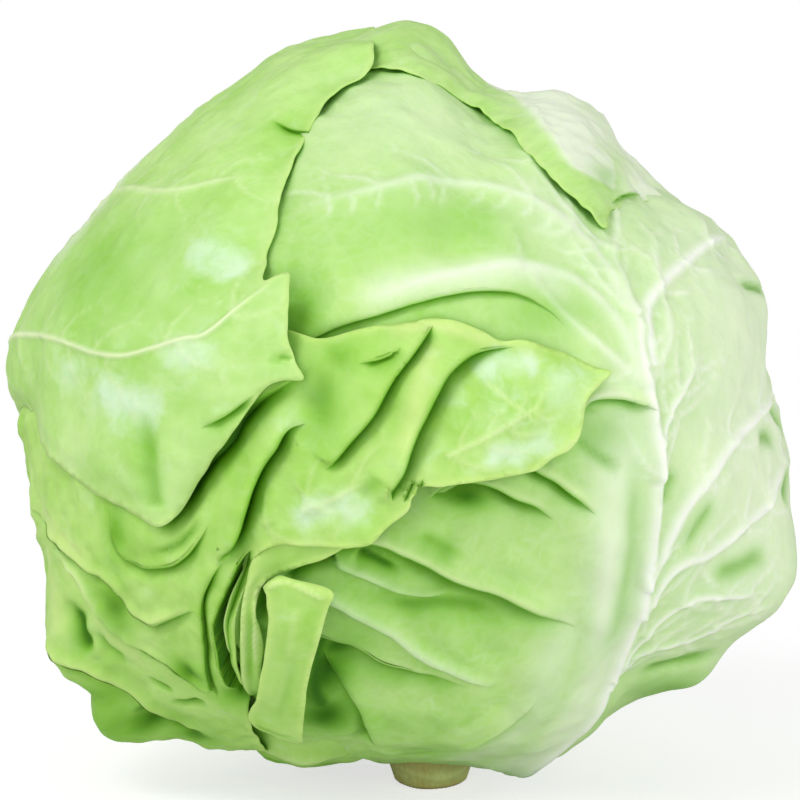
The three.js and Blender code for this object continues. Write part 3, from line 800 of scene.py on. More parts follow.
# %% The front leaf: the swags of the lower left
SWAGS = [
    # Painted shade in the folds and dips of the swags, and painted highlights along the rims of two pleats.
    swelling((-38, -17), 1.2, (7, 4)),
    pleat([(-45, -12.5), (-44.5, -17), (-43, -20), (-40.5, -21.5), (-37.5, -21.5), (-33.5, -20.5),
           (-30.5, -18.5), (-28.5, -16), (-26.5, -13)], 0.6, 2.2, 3, 4.5, lap=0.4, tuck=0.4, hollow=0.8,
           shade=1.8,
          ends=(0.25, 0.3)),
    groove([(-37, -19), (-33, -17.5), (-30, -15), (-28, -12)], 0.8, 1.0, 0.5),
    pleat([(-76, -19.5), (-69, -21.5), (-61, -23.5), (-52.5, -25), (-47.5, -25.5), (-45, -27),
           (-43.5, -29.5), (-41, -31.5), (-38, -31.5), (-35.5, -30), (-32.5, -28.5), (-30, -27)], 1.6, 2.8,
           3, 5, lap=0.8,
          rim=0.6, hollow=0.8, shade=1.5, ends=(0.4, 0.15)),
    swelling((-46.5, -31), -0.6, (3, 4.4), hollow=0.75),
    stain((-43.5, -17), (2.4, 4), hollow=0.6),
    swelling((-33.5, -40), -0.6, (2.6, 2), hollow=0.9),
    rib([(-63, -24.5), (-58.5, -26), (-53, -29), (-50.5, -32), (-47.5, -35), (-43.5, -39)], 1.6, 1.7, 0.6,
        ends=(0.3, 0.3), crisp=True),
    groove([(-58.5, -33), (-57, -37), (-56, -40.5), (-54.5, -43.5)], 1.8, 3.2, 1.0, ends=(0.35, 0.2)),
    groove([(-52, -37), (-50.5, -40.5), (-47, -43.5)], 1.2, 2.0, 0.5),
    pleat([(-45.5, -37.5), (-43, -38.5), (-38.5, -39.5), (-35.5, -41.5), (-32, -43.5), (-29, -43)], 1.0,
          3.0, 3, 4, lap=0.7, tuck=0.4, hollow=1.0, shade=1.6),
    groove([(-43.5, -45.5), (-41, -46.5), (-38.5, -47.5)], 1.2, 1.1, 0.8),
    groove([(-40.5, -51), (-36, -49.5), (-32, -47.5)], 1.6, 1.2, 0.9),
    pleat([(-66, -43.5), (-61, -45), (-56.5, -46), (-52, -48), (-47, -51.5), (-42, -56.5), (-39, -59.5),
           (-36.5, -61.5)], 1.8, 4.4, 4, 6, lap=0.8, rim=0.8, hollow=1.0, shade=2.6, ends=(0.1, 0.12)),
    swelling((-45, -57.5), -1.0, (5, 3), hollow=1.0),
    swelling((-39, -62.5), -1.0, (4, 2.5), hollow=0.9),
    stain((-54, -52), (5, 3), hollow=0.5),
    groove([(-62, -54.5), (-58.5, -54), (-55, -52.5)], 2.6, 3, 0.7),
    groove([(-49, -55.5), (-46, -56.5), (-43, -59.5), (-40.5, -63)], 3.0, 2.6, 1.0, ends=(0.25, 0.2)),
    stain((-50, -57), (9, 5), hollow=0.45),
    streak([(-48.5, -53.5), (-44.5, -57), (-40.5, -61)], 2.6, 0.9, "hollow"),
    # Painted highlights along the lit ridges of the swags.
    streak([(-61, -26), (-55, -29.5), (-51, -34), (-47, -39), (-42, -43)], 2.6, 0.45),
    streak([(-70, -26), (-64, -33), (-60, -42)], 5, 0.35),
    streak([(-72, -17), (-64, -20), (-56, -22), (-48, -23)], 2.6, 0.45),
]

# %% The front leaf
front_leaf = make_leaf(
    "front_leaf_skin", facing=0, depth=3.08, seed=14, step=1.2, jag=0.12,
    fine=[((-4, 1), 26, 0.8), ((-36, -32), 29, 0.8)],
    outline=[
        # up beside the pages and along the lower edge to the tip
        (-27, -83), (-26, -68), (-25.5, -58), (-25, -50), (-24.5, -43), (-24.5, -36), (-24, -28),
        (-22.5, -23), (-21, -19), (-19, -16.5), (-16.5, -15.5), (-13.5, -15.5), (-10, -15.5),
        (-6.5, -15.5), (-4, -15), (-2, -13), (1, -10), (1.5, -8.5), (3, -7), (5.5, -7), (9, -6.5),
        (12, -6), (15.5, -5.5), (18.5, -5), (21, -3.5), (23.5, -2), (25, 0.5), (25.5, 3.5), (26.5, 5.5),
        (29.5, 8),
        # back along the upper edge and under the left leaf
        (28, 9), (26.5, 10), (24.5, 11), (21, 12), (17.5, 13), (14.5, 13), (11.5, 14.5), (8.5, 15.5),
        (4.5, 16), (1, 15.5), (-3.5, 15), (-7, 14), (-10.5, 13), (-15, 14), (-36, 21), (-52, 23),
        (-68, 19), (-84, 8), (-89, -10), (-83, -34), (-76, -47), (-63, -60), (-46, -71), (-38, -79),
    ],
    forms=[
        swelling((-64, -48), 11, (11, 11)),
        swelling((-53, -60), 12.3, (8, 8)),
        swelling((-44, -67), 3.5, (13, 7)),
        swelling((-82, -16), 1.0, (12, 26)),
        swelling((-80, -3), 2.2, (9, 7)),
        groove([(30, 8.5), (26, 10.5), (21, 12.5), (14, 13.5), (8, 15.5), (0, 16), (-10, 13.5)], 2.6, 4, 0,
               ends=(0.05, 0.2)),
        *UPPER_PLEATS,
        *TIP,
        *PAGE_GAP,
        *SWAGS,
        ripples(0.3, 16, seed=4),
        ripples(0.14, 7, seed=24),
    ],
)

# %% [markdown]
# ## The pages
# Beside the lip the blade is folded so tightly that only the edges of the folds show, like the pages of a
# book. Height above the skin can't make an upright sheet, so each page is its own thin strip on edge.

# %% Pages: thin strips on edge
PAGE_REACH_MM = 8.0
PAGE_MM = 0.9
PAGE_SINK_MM = 4.0  # how far its two ends go down between the leaves
# Across a page: sideways from its middle, and how far in, as shares of its thickness and of its reach.
PAGE_SECTION = [(0.5, 1), (0.5, 0.5), (0.45, 0.1), (0.25, 0.02), (0, 0), (-0.25, 0.02), (-0.45, 0.1),
                (-0.5, 0.5), (-0.5, 1)]


def make_pages(name, facing, edges, depth, lean_mm):
    """For each line, a strip that stands on edge under it and leans as it goes in."""
    points, faces, places, rib_marks, hollow_marks = [], [], [], [], []
    across = len(PAGE_SECTION)
    for edge in edges:
        line = smooth_line(edge)
        along = len(line)
        share = np.linspace(0, 1, along)
        sink = PAGE_SINK_MM * (1 - taper(share, (0.3, 0.35)))
        first = sum(len(row) for row in points)
        for aside, inward in PAGE_SECTION:
            offset = aside * PAGE_MM + lean_mm * inward
            direction = chart_direction(facing, line + normals_of(line) * (offset / ARC_MM))
            radius = head_radius(direction) - depth - sink - inward * PAGE_REACH_MM
            points.append(HEAD_CENTRE + direction * radius[:, None])
            # Painted highlight along the page's top edge, and painted shade that deepens down the page.
            rib_marks.append(np.full(along, 0.25 * bell(inward, 0.12)))
            hollow_marks.append(np.full(along, smoothstep(0.05, 0.3, inward)))
            depth_on_page = np.full(along, inward * PAGE_REACH_MM)
            places.append(np.column_stack([share * along * LINE_STEP_MM, depth_on_page]))

        def corner(k, i):
            return first + (k % across) * along + i

        faces += [(corner(k, i), corner(k + 1, i), corner(k + 1, i + 1), corner(k, i + 1))
                  for k in range(across) for i in range(along - 1)]
        faces.append(tuple(corner(k, 0) for k in reversed(range(across))))
        faces.append(tuple(corner(k, along - 1) for k in range(across)))
    points = np.vstack(points)
    marks = {mark: np.zeros(len(points)) for mark in MARKS}
    marks["rib"], marks["hollow"] = np.concatenate(rib_marks), np.concatenate(hollow_marks)
    return new_piece(name, points, faces, marks, np.vstack(places))


pages = make_pages("folded_pages", facing=0, depth=3.6, lean_mm=1.2, edges=[
    [(-22, -18.5), (-23.5, -22), (-25, -26), (-26, -29.5), (-26, -33), (-26, -37), (-26, -41)],
    [(-21, -18.5), (-22, -22), (-23.5, -26), (-24.5, -30), (-25, -33.5), (-25, -38)],
])

# %% [markdown]
# ## The curled margin, the ribbon and the leaf under the front
# Right of the pages the front leaf's margin curls round and hangs down as a narrow band. Beside it a
# narrow end of leaf hangs like a ribbon. Under it all, one more leaf closes the head beside the stalk, and
# the rear leaf shows only as a strip of the back.

# %% The curled margin
curled_margin = make_leaf(
    "curled_margin", facing=0, depth=3.9, seed=18, step=0.9, jag=0.05,
    outline=[
        (-24.5, -47), (-23, -46.5), (-21.5, -43.5), (-21, -38), (-20, -33), (-20, -30), (-20.5, -26),
        (-20, -23.5), (-19, -21.5), (-17.5, -20.5), (-13, -18.5), (-9.5, -17), (-7, -15), (-8, -14),
        (-13.5, -14.5), (-18, -15.5), (-20.5, -18), (-21.5, -21.5), (-22.5, -25.5), (-23, -29.5),
        (-24, -35.5), (-24.5, -41.5),
    ],
    forms=[
        swelling((-22, -30), 1.4, (3, 14)),
        rib([(-24, -45), (-24, -40), (-23, -34), (-22.5, -29), (-22, -24.5), (-20.5, -20.5), (-18, -18.5)],
            0.8, 1.0, 0.5),
        rib([(-21.5, -37), (-21, -31), (-20.5, -26), (-20, -22.5), (-17.5, -21), (-13, -19),
             (-9.5, -17.5)], 0.7,
            0.7, 0.8, ends=(0.2, 0.05)),
        # Painted shade in the groove and at the foot of the band.
        groove([(-23, -42), (-22.5, -36), (-21.5, -29), (-21, -24)], 0.5, 0.8, 0.35),
        swelling((-24, -47), -2.5, (2.5, 4), hollow=0.6),
        ripples(0.12, 8, seed=28),
    ],
)

# %% The folded leaf
folded_leaf = make_leaf(
    "folded_leaf_skin", facing=0, depth=1.0, seed=15, step=0.9, jag=0.06,
    outline=[
        (-18.5, -21), (-18, -22), (-18, -24), (-18, -26.5), (-19, -31.5), (-20.5, -37.5), (-22, -42.5),
        (-24, -47), (-23.5, -50), (-22, -52), (-19.5, -53.5), (-16.5, -54.5), (-15.5, -50), (-14.5, -44),
        (-13, -36), (-11, -28.5), (-9.5, -23.5), (-9, -22.5), (-10, -21.5), (-13, -20.5), (-16, -19.5),
        (-17.5, -20),
    ],
    forms=[
        swelling((-16, -36), 1.4, (4.5, 20)),
        groove([(-20, -19.5), (-16, -19), (-10, -21), (-7, -22)], 1.8, 1.8, 0, ends=(0.01, 0.01)),
        # A painted highlight along the top edge; painted shade in the groove and the small fold further
        # down.
        rib([(-18, -21), (-15.5, -20), (-12.5, -21.5), (-10, -23)], 0.6, 0.8, 0.5, ends=(0.1, 0.1)),
        rib([(-18.5, -23), (-19, -28), (-20.5, -35), (-22.5, -42.5), (-24, -47)], 0.4, 0.8, 0.4),
        rib([(-10, -24.5), (-11.5, -30), (-13.5, -37), (-15, -46)], 0.4, 0.7, 0.4),
        rib([(-14, -24), (-16, -34), (-19.5, -46)], 0.3, 1.4, 0.2),
        groove([(-15, -30), (-16.5, -38), (-19, -46)], 0.6, 1.6, 0.15),
        pleat([(-23.5, -49), (-20.5, -50), (-17, -51)], 0.6, 1.0, 2.0, 2.5, lap=0.3, tuck=0.2, hollow=0.5),
        ripples(0.25, 14, seed=7),
    ],
)

# %% The under leaf and the rear leaf
under_leaf = make_leaf(
    "under_leaf_skin", facing=-20, depth=8.9, seed=16, step=1.5,
    outline=[
        (-18, -84), (6, -84), (22, -72), (27, -60), (8, -57), (-18, -56), (-40, -50), (-54, -50),
        (-62, -60), (-44, -74),
    ],
    forms=[
        swelling((-8, -77), 4.5, (12, 12)),
        swelling((-16, -69), 6.5, (14, 8)),
        # Painted shade in this groove.
        groove([(-26, -66), (-16, -69.5), (-4, -72)], 1.2, 1.4, 0.8),
        rib([(-24, -63), (-12, -66), (0, -69)], 0.9, 1.6, 0.5),
        ripples(0.4, 16, seed=6),
    ],
)
REAR_MIDRIB = [(0, -80), (0, -30), (2, 30), (4, 70)]
rear_leaf = make_leaf(
    "rear_leaf_skin", facing=178, depth=9.1, seed=17, step=2.0,
    outline=[
        (-14, -83), (14, -83), (40, -67), (60, -43), (72, -12), (74, 22), (64, 52), (42, 76), (14, 92),
        (-12, 92), (-40, 76), (-62, 50), (-74, 20), (-72, -12), (-60, -43), (-40, -67),
    ],
    forms=[
        rib(REAR_MIDRIB, 1.8, 5),
        *side_veins(REAR_MIDRIB, 7, 52, 60, 0.8, 1.9, 0.7, seed=141, forks=0),
        ripples(0.35, 24, seed=5),
    ],
)

# %% [markdown]
# ## The stalk
# What is left of the stem after the head was cut from its root: a short fibrous stub, wider where the
# leaves come off, with a dry brown rim round the cut.

# %% The stalk
STALK_PROFILE_MM = [(0, 8.2), (0.8, 9.4), (2.5, 10), (5, 10.8), (8, 12.4), (12, 16), (16, 16.5), (22, 13)]
STALK_STEP_MM = 0.5
STALK_SIDES = 160
FIBRES = 40
SCAR_HEIGHT_MM = 4.5


def make_stalk():
    heights = np.arange(0, STALK_PROFILE_MM[-1][0] + 0.01, STALK_STEP_MM)
    profile = np.interp(heights, *zip(*STALK_PROFILE_MM))
    angle = np.linspace(0, 2 * np.pi, STALK_SIDES, endpoint=False)
    rng = np.random.default_rng(31)
    lumps = sum(np.sin(k * angle + rng.uniform(0, 6.28)) / k for k in (2, 3, 5, 7))
    fibre = np.sin(FIBRES * angle + 1.5 * np.sin(3 * angle))
    rows = []
    for z, radius in zip(heights, profile):
        twist = 0.25 * np.sin(FIBRES * 0.37 * angle + 0.5 * z)
        scar = 0.5 * bell(z - SCAR_HEIGHT_MM - 1.5 * np.sin(2 * angle + 1), 0.7)
        r = radius + 0.5 * lumps + 0.12 * fibre + 0.1 * twist + scar
        rows.append(np.column_stack([r * np.cos(angle), r * np.sin(angle), np.full(STALK_SIDES, z)]))
    for share in (0.75, 0.4, 0.0):  # the cut face, slightly hollow
        face = rows[0] * (share, share, 0)
        face[:, 2] = 0.3 * (1 - share)
        rows.insert(0, face)
    rows.append(rows[-1] * (0.02, 0.02, 1))

    def corner(k, i):
        return k * STALK_SIDES + i % STALK_SIDES

    faces = [(corner(k, i), corner(k, i + 1), corner(k + 1, i + 1), corner(k + 1, i))
             for k in range(len(rows) - 1) for i in range(STALK_SIDES)]
    return new_piece("stalk_skin", np.vstack(rows), faces, {})


stalk = make_stalk()

# %% [markdown]
# ## The waxy skin of a cabbage leaf
# Fresh leaf tissue is watery and full of small air gaps, so light goes some way into it and comes out
# yellow-green; over it lies a thin bloom of wax. Its soft, slightly blue highlights are painted into the
# colour as pale patches, and the deep green of creases and gaps is painted shade. The IOR of leaf wax is
# about 1.45.

# %% Colours and a node helper
def colour(hex_code):
    """An sRGB hex value as linear red, green, blue and alpha."""
    values = [int(hex_code[i : i + 2], 16) / 255 for i in (1, 3, 5)]
    return (*[v / 12.92 if v <= 0.04045 else ((v + 0.055) / 1.055) ** 2.4 for v in values], 1.0)


def new_material(name):
    material = bpy.data.materials.new(name)
    material.use_nodes = True
    material.node_tree.nodes.clear()
    return material


def add(tree, kind, links=None, inputs=None, **settings):
    """Adds a node, sets its properties and inputs, and links its inputs to other nodes' outputs."""
    node = tree.nodes.new(kind)
    for key, value in settings.items():
        setattr(node, key, value)
    for socket, value in (inputs or {}).items():
        node.inputs[socket].default_value = value
    for socket, source in (links or {}).items():
        tree.links.new(node.inputs[socket], source)
    return node


MIX_FACTOR, MIX_A, MIX_B, MIX_RESULT = 0, 6, 7, 2  # the sockets of a Mix node that mixes colours


# %% Sizes and strengths of what shows on the leaf skin
NET_CELL_MM = 4.0  # between the finest veins that can be told apart
NET_HEIGHT_MM = 0.2
WARP_MM, WARP_REACH_MM = 5.0, 6.0  # bends the net and the smears, so that neither looks drawn with a ruler
PATCH_MM = 26.0  # of greener and of yellower leaf
PUCKER_MM, PUCKER_HEIGHT_MM = 3.5, 0.5
SMEAR_MM = 7.0  # patches in the wax bloom
# Painted shade: where another leaf is this near, the skin's colour turns deep green.
SHADE_MM = 12.0  # how near another leaf has to be to shade this one
# The bloom colour is painted highlights as well as wax.
SMEAR_GAIN, SMEAR_OFFSET, FULL_WAX_HIGHLIGHT = 1.6, -0.8, 1.3  # how the smears break up the bloom
# The deep green of a hollow is painted shade.
GROOVE_SHADE_POWER, CORE_SHADE_POWER = 0.6, 2.5  # a hollow's deep green starts early, its darkest core late
# Of these strengths, the last three are painted shade, and the wax one is painted highlights as well as wax.
STRENGTH = {"pale": 0.85, "smears": 0.3, "wax_highlight": 0.72, "net": 0.07, "rib": 0.85, "edge": 0.55, "shade": 0.8,
            "groove_shade": 0.9, "core": 0.85}


# %% The leaf skin
def leaf_skin(name, leaf_hex, light_hex, pale_hex, vein_hex, painted_shade_hex, core_hex, margin_and_highlight_hex, bloom_hex):
    material = new_material(name)
    tree = material.node_tree
    chart = add(tree, "ShaderNodeAttribute", attribute_name="chart").outputs["Vector"]
    mark = {m: add(tree, "ShaderNodeAttribute", attribute_name=m).outputs["Fac"] for m in MARKS}
    patches = add(tree, "ShaderNodeTexNoise", {"Vector": chart},
                  {"Scale": 1 / (PATCH_MM * MM), "Detail": 3.0, "Roughness": 0.6}).outputs["Fac"]
    warp = add(tree, "ShaderNodeTexNoise", {"Vector": chart}, {"Scale": 1 / (WARP_MM * MM), "Detail": 1.5})
    bent = add(tree, "ShaderNodeVectorMath", {0: warp.outputs["Color"]},
               {1: (WARP_REACH_MM * MM, WARP_REACH_MM * MM, 0)}, operation="MULTIPLY")
    place = add(tree, "ShaderNodeVectorMath", {0: chart, 1: bent.outputs[0]}, operation="ADD").outputs[0]
    cells = add(tree, "ShaderNodeTexVoronoi", {"Vector": place}, {"Scale": 1 / (NET_CELL_MM * MM)},
                feature="DISTANCE_TO_EDGE").outputs["Distance"]
    net = add(tree, "ShaderNodeMapRange", {"Value": cells},
              {"From Min": 0.0, "From Max": 0.3, "To Min": 1.0, "To Max": 0.0}).outputs["Result"]
    spread = add(tree, "ShaderNodeMapRange", {"Value": patches}, {"From Min": 0.32, "From Max": 0.68})
    green = add(tree, "ShaderNodeMix", {MIX_FACTOR: spread.outputs["Result"]},
                {MIX_A: colour(leaf_hex), MIX_B: colour(light_hex)}, data_type="RGBA").outputs[MIX_RESULT]

    def towards(below, hex_code, factor, share):
        """Mixes one more colour over what is below, by a mark on the leaf."""
        amount = add(tree, "ShaderNodeMath", {0: factor}, {1: share}, operation="MULTIPLY").outputs[0]
        return add(tree, "ShaderNodeMix", {MIX_FACTOR: amount, MIX_A: below}, {MIX_B: colour(hex_code)},
                   data_type="RGBA").outputs[MIX_RESULT]

    # Painted shade: ambient occlusion from nearby leaves turns the colour deep green.
    open_sky = add(tree, "ShaderNodeAmbientOcclusion", None, {"Distance": SHADE_MM * MM}, samples=3)
    shaded = add(tree, "ShaderNodeMapRange", {"Value": open_sky.outputs["AO"]},
                 {"From Min": 0.1, "From Max": 0.85, "To Min": 1.0, "To Max": 0.0}).outputs["Result"]
    skin_colour = towards(green, pale_hex, mark["pale"], STRENGTH["pale"])
    smears = add(tree, "ShaderNodeTexNoise", {"Vector": place},
                 {"Scale": 1 / (SMEAR_MM * MM), "Detail": 3.0, "Roughness": 0.6}).outputs["Fac"]
    skin_colour = towards(skin_colour, light_hex, smears, STRENGTH["smears"])
    # Painted highlights: the bloom mark, broken up by the smears, mixes in the pale blue of wax.
    broken = add(tree, "ShaderNodeMath", {0: smears}, {1: SMEAR_GAIN, 2: SMEAR_OFFSET},
                 operation="MULTIPLY_ADD").outputs[0]
    wax_and_highlight = add(tree, "ShaderNodeMath", {0: mark["bloom"], 1: broken}, operation="ADD").outputs[0]
    wax_and_highlight = add(tree, "ShaderNodeMapRange", {"Value": wax_and_highlight}, {"From Min": 0.0, "From Max": FULL_WAX_HIGHLIGHT},
                interpolation_type="SMOOTHSTEP").outputs["Result"]
    skin_colour = towards(skin_colour, bloom_hex, wax_and_highlight, STRENGTH["wax_highlight"])
    skin_colour = towards(skin_colour, vein_hex, net, STRENGTH["net"])
    skin_colour = towards(skin_colour, vein_hex, mark["rib"], STRENGTH["rib"])
    # The edge colour is the thin margin and also the painted highlight along pleat crests.
    skin_colour = towards(skin_colour, margin_and_highlight_hex, mark["edge"], STRENGTH["edge"])
    # Painted shade from ambient occlusion, then painted shade in hollows, darkest in their cores.
    skin_colour = towards(skin_colour, painted_shade_hex, shaded, STRENGTH["shade"])
    groove_shade = add(tree, "ShaderNodeMath", {0: mark["hollow"]}, {1: GROOVE_SHADE_POWER}, operation="POWER").outputs[0]
    skin_colour = towards(skin_colour, painted_shade_hex, groove_shade, STRENGTH["groove_shade"])
    core = add(tree, "ShaderNodeMath", {0: mark["hollow"]}, {1: CORE_SHADE_POWER}, operation="POWER").outputs[0]
    skin_colour = towards(skin_colour, core_hex, core, STRENGTH["core"])
    puckers = add(tree, "ShaderNodeTexNoise", {"Vector": chart},
                  {"Scale": 1 / (PUCKER_MM * MM), "Detail": 2.0})
    fine = add(tree, "ShaderNodeBump", {"Height": puckers.outputs["Fac"]},
               {"Strength": 0.25, "Distance": PUCKER_HEIGHT_MM * MM})
    veined = add(tree, "ShaderNodeBump", {"Height": net, "Normal": fine.outputs["Normal"]},
                 {"Strength": 0.15, "Distance": NET_HEIGHT_MM * MM})
    rough = add(tree, "ShaderNodeMapRange", {"Value": patches}, {"To Min": 0.4, "To Max": 0.6})
    skin = add(
        tree, "ShaderNodeBsdfPrincipled",
        {"Base Color": skin_colour, "Normal": veined.outputs["Normal"],
         "Roughness": rough.outputs["Result"]},
        {"IOR": 1.45, "Specular IOR Level": 0.1, "Subsurface Weight": 0.2,
         "Subsurface Radius": (0.6, 1.0, 0.25), "Subsurface Scale": 0.002, "Coat Weight": 0.04,
         "Coat Roughness": 0.3},
    )
    add(tree, "ShaderNodeOutputMaterial", {"Surface": skin.outputs["BSDF"]})
    return material


green_skin = leaf_skin("waxed_green_leaf", "#9bce5c", "#bee390", "#f4f9ec", "#ecf5cc", "#70b612", "#245f02",
                       "#cdec94", "#dbf3de")
fresh_skin = leaf_skin("waxed_fresh_leaf", "#93c948", "#bbe281", "#e8f4a6", "#e6f3bc", "#6bb20a", "#1f5800",
                       "#cfee8c", "#dbf3de")
pale_skin = leaf_skin("waxed_pale_leaf", "#93ca50", "#bae085", "#f5f9ee", "#f8fbf3", "#72b818", "#2a6606",
                      "#d2ee9c", "#e0f2da")
print("leaf finishes:", green_skin.name, fresh_skin.name, pale_skin.name)

# %% [markdown]
# ## The cut stalk
# The stem's skin dries to a matt straw colour, with grain along its length and a darker rim round the cut.
# From the scar where the lowest leaf came off upwards it is brown: partly the scar, partly painted shade
# under the leaves. Dry plant fibre scatters a little light and has no gloss.

# %% The cut stalk
GRAIN_MM = 1.1
GRAIN_STRETCH = 0.2  # the grain is five times as long as it is wide
BLOTCH_MM = 8.3
# Above the scar the stalk stays brown into the head: painted shade under the leaves.
RIM_MM, SCAR_AND_SHADE_MM = (0.5, 3.0), (4.0, 9.0)  # heights at which the rim ends and the scar starts


def stalk_skin():
    material = new_material("cut_stalk")
    tree = material.node_tree
    place = add(tree, "ShaderNodeTexCoord").outputs["Object"]
    long_grain = add(tree, "ShaderNodeMapping", {"Vector": place},
                     {"Scale": (1.0, 1.0, GRAIN_STRETCH)}).outputs[0]
    grain = add(tree, "ShaderNodeTexNoise", {"Vector": long_grain},
                {"Scale": 1 / (GRAIN_MM * MM), "Detail": 4.0}).outputs["Fac"]
    blotch = add(tree, "ShaderNodeTexNoise", {"Vector": place},
                 {"Scale": 1 / (BLOTCH_MM * MM), "Detail": 5.0}).outputs["Fac"]
    ramp = add(tree, "ShaderNodeValToRGB", {"Fac": blotch})
    stops = ramp.color_ramp.elements
    stops[0].position, stops[0].color = 0.35, colour("#a39a4c")
    stops[1].position, stops[1].color = 0.62, colour("#c9d486")
    height = add(tree, "ShaderNodeSeparateXYZ", {"Vector": place}).outputs["Z"]
    rim = add(tree, "ShaderNodeMapRange", {"Value": height},
              {"From Min": RIM_MM[0] * MM, "From Max": RIM_MM[1] * MM,
               "To Min": 0.7, "To Max": 0.0}).outputs["Result"]
    body = add(tree, "ShaderNodeMix", {MIX_FACTOR: grain, MIX_A: ramp.outputs["Color"]},
               {MIX_B: colour("#d0d98e")}, data_type="RGBA").outputs[MIX_RESULT]
    # Browner from 4 mm up: the scar, and painted shade under the leaves.
    scar = add(tree, "ShaderNodeMapRange", {"Value": height},
               {"From Min": SCAR_AND_SHADE_MM[0] * MM, "From Max": SCAR_AND_SHADE_MM[1] * MM,
                "To Min": 0.0, "To Max": 0.75}).outputs["Result"]
    body = add(tree, "ShaderNodeMix", {MIX_FACTOR: rim, MIX_A: body}, {MIX_B: colour("#bdb46a")},
               data_type="RGBA").outputs[MIX_RESULT]
    body = add(tree, "ShaderNodeMix", {MIX_FACTOR: scar, MIX_A: body}, {MIX_B: colour("#a8874c")},
               data_type="RGBA").outputs[MIX_RESULT]
    bump = add(tree, "ShaderNodeBump", {"Height": grain}, {"Strength": 0.5, "Distance": 0.0004})
    skin = add(tree, "ShaderNodeBsdfPrincipled", {"Base Color": body, "Normal": bump.outputs["Normal"]},
               {"Roughness": 0.6, "IOR": 1.45, "Subsurface Weight": 0.15, "Subsurface Scale": 0.002})
    add(tree, "ShaderNodeOutputMaterial", {"Surface": skin.outputs["BSDF"]})
    return material


cut_skin = stalk_skin()

# %% Dress the solids
for piece, node, slot, skin in (
    (left_leaf, "left_leaf", "green_leaf", green_skin),
    (crown_leaf, "crown_leaf", "green_leaf", green_skin),
    (right_leaf, "right_leaf", "pale_leaf", pale_skin),
    (front_leaf, "front_leaf", "green_leaf", fresh_skin),
    (pages, "front_leaf", "green_leaf", fresh_skin),
    (curled_margin, "front_leaf", "green_leaf", fresh_skin),
    (folded_leaf, "folded_leaf", "green_leaf", fresh_skin),
    (under_leaf, "under_leaf", "green_leaf", fresh_skin),
    (rear_leaf, "rear_leaf", "green_leaf", green_skin),
    (stalk, "stalk", "stalk", cut_skin),
):
    piece.data.materials.append(skin)
    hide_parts(node)

for node in ("heart", "inner_leaf_right", "inner_leaf_left", "inner_leaf_front", "inner_leaf_back"):
    for item in bpy.data.objects[node].material_slots:
        item.material = pale_skin

# %% [markdown]
# ## Floor, light and camera
# A plain white floor runs into a white world. To the camera the floor adds a little light of its own, so
# it looks white where it is lit and still keeps the head's soft shadow.

# %% Floor
FLOOR_SIZE = 6.0  # metres from the middle to each side
LIT_FLOOR, WHITE_FLOOR = 0.12, 0.38  # metres from the head where the floor starts and ends turning white
GLOW = 0.66
floor_mesh = bpy.data.meshes.new("floor")
corners = [(x * FLOOR_SIZE, y * FLOOR_SIZE, 0) for x, y in ((-1, -1), (1, -1), (1, 1), (-1, 1))]
floor_mesh.from_pydata(corners, [], [(0, 1, 2, 3)])
floor = bpy.data.objects.new("floor", floor_mesh)
bpy.context.scene.collection.objects.link(floor)
paper = new_material("white_paper_floor")
tree = paper.node_tree
seen = add(tree, "ShaderNodeLightPath").outputs["Is Camera Ray"]
matt = add(tree, "ShaderNodeBsdfDiffuse", None, {"Color": colour("#e6e6e4")})
soft = add(tree, "ShaderNodeBsdfDiffuse", None, {"Color": colour("#bcbcbc")})
glow = add(tree, "ShaderNodeEmission", None, {"Strength": GLOW})
white = add(tree, "ShaderNodeEmission", None, {"Strength": 1.0})
bright = add(tree, "ShaderNodeAddShader", {0: soft.outputs[0], 1: glow.outputs[0]})
spot = add(tree, "ShaderNodeNewGeometry").outputs["Position"]
away = add(tree, "ShaderNodeVectorMath", {0: spot}, operation="LENGTH").outputs["Value"]
far = add(tree, "ShaderNodeMapRange", {"Value": away}, {"From Min": LIT_FLOOR, "From Max": WHITE_FLOOR},
          interpolation_type="SMOOTHSTEP").outputs["Result"]
sweep = add(tree, "ShaderNodeMixShader", {0: far, 1: bright.outputs[0], 2: white.outputs[0]})
mix = add(tree, "ShaderNodeMixShader", {0: seen, 1: matt.outputs[0], 2: sweep.outputs[0]})
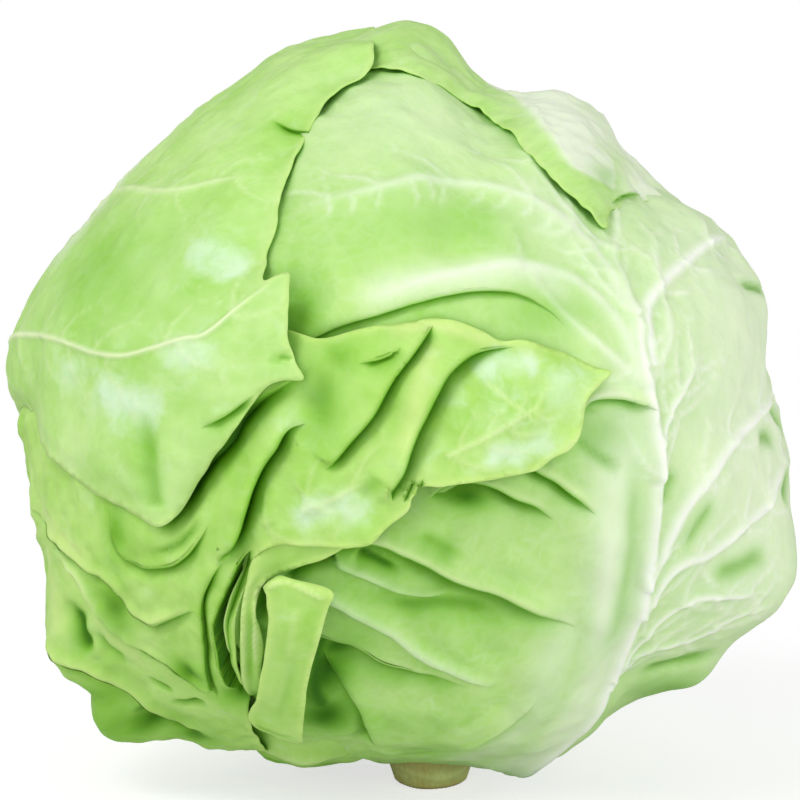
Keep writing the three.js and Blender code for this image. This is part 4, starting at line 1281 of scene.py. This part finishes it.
add(tree, "ShaderNodeOutputMaterial", {"Surface": mix.outputs[0]})
floor_mesh.materials.append(paper)

# %% World
WORLD_LIGHT = 0.45
world = bpy.data.worlds.new("studio")
bpy.context.scene.world = world
world.use_nodes = True
tree = world.node_tree
tree.nodes.clear()
seen = add(tree, "ShaderNodeLightPath").outputs["Is Camera Ray"]
lit = add(tree, "ShaderNodeBackground", None, {"Color": (1, 1, 1, 1), "Strength": WORLD_LIGHT})
white = add(tree, "ShaderNodeBackground", None, {"Color": (1, 1, 1, 1), "Strength": 1.0})
mix = add(tree, "ShaderNodeMixShader", {0: seen, 1: lit.outputs[0], 2: white.outputs[0]})
add(tree, "ShaderNodeOutputWorld", {"Surface": mix.outputs[0]})

# %% Lamps
MIDDLE = Vector((-0.008, 0, 0.1))


def soft_lamp(name, place, size, power):
    lamp = bpy.data.lights.new(name, "AREA")
    lamp.size, lamp.energy = size, power
    holder = bpy.data.objects.new(name, lamp)
    holder.location = place
    holder.rotation_euler = (MIDDLE - Vector(place)).to_track_quat("-Z", "Y").to_euler()
    bpy.context.scene.collection.objects.link(holder)


soft_lamp("key", (-0.45, -0.55, 0.85), 0.35, 3.4)
soft_lamp("window", (-0.85, -0.38, 0.72), 0.45, 1.6)
soft_lamp("fill", (0.75, -0.55, 0.35), 0.6, 3.7)
soft_lamp("low front", (-0.25, -0.9, 0.14), 0.5, 2.1)

# %% Camera
ELEVATION = math.radians(5)
DISTANCE = 0.57  # metres
LENS, SENSOR = 100, 36  # millimetres
target = Vector((-0.008, 0, 0.0995))
camera_data = bpy.data.cameras.new("camera")
camera_data.lens, camera_data.sensor_width = LENS, SENSOR
camera = bpy.data.objects.new("camera", camera_data)
camera.location = target + Vector((0, -math.cos(ELEVATION), math.sin(ELEVATION))) * DISTANCE
camera.rotation_euler = (target - camera.location).to_track_quat("-Z", "Y").to_euler()
bpy.context.scene.collection.objects.link(camera)
bpy.context.scene.camera = camera
bpy.context.scene.view_settings.view_transform = "Standard"
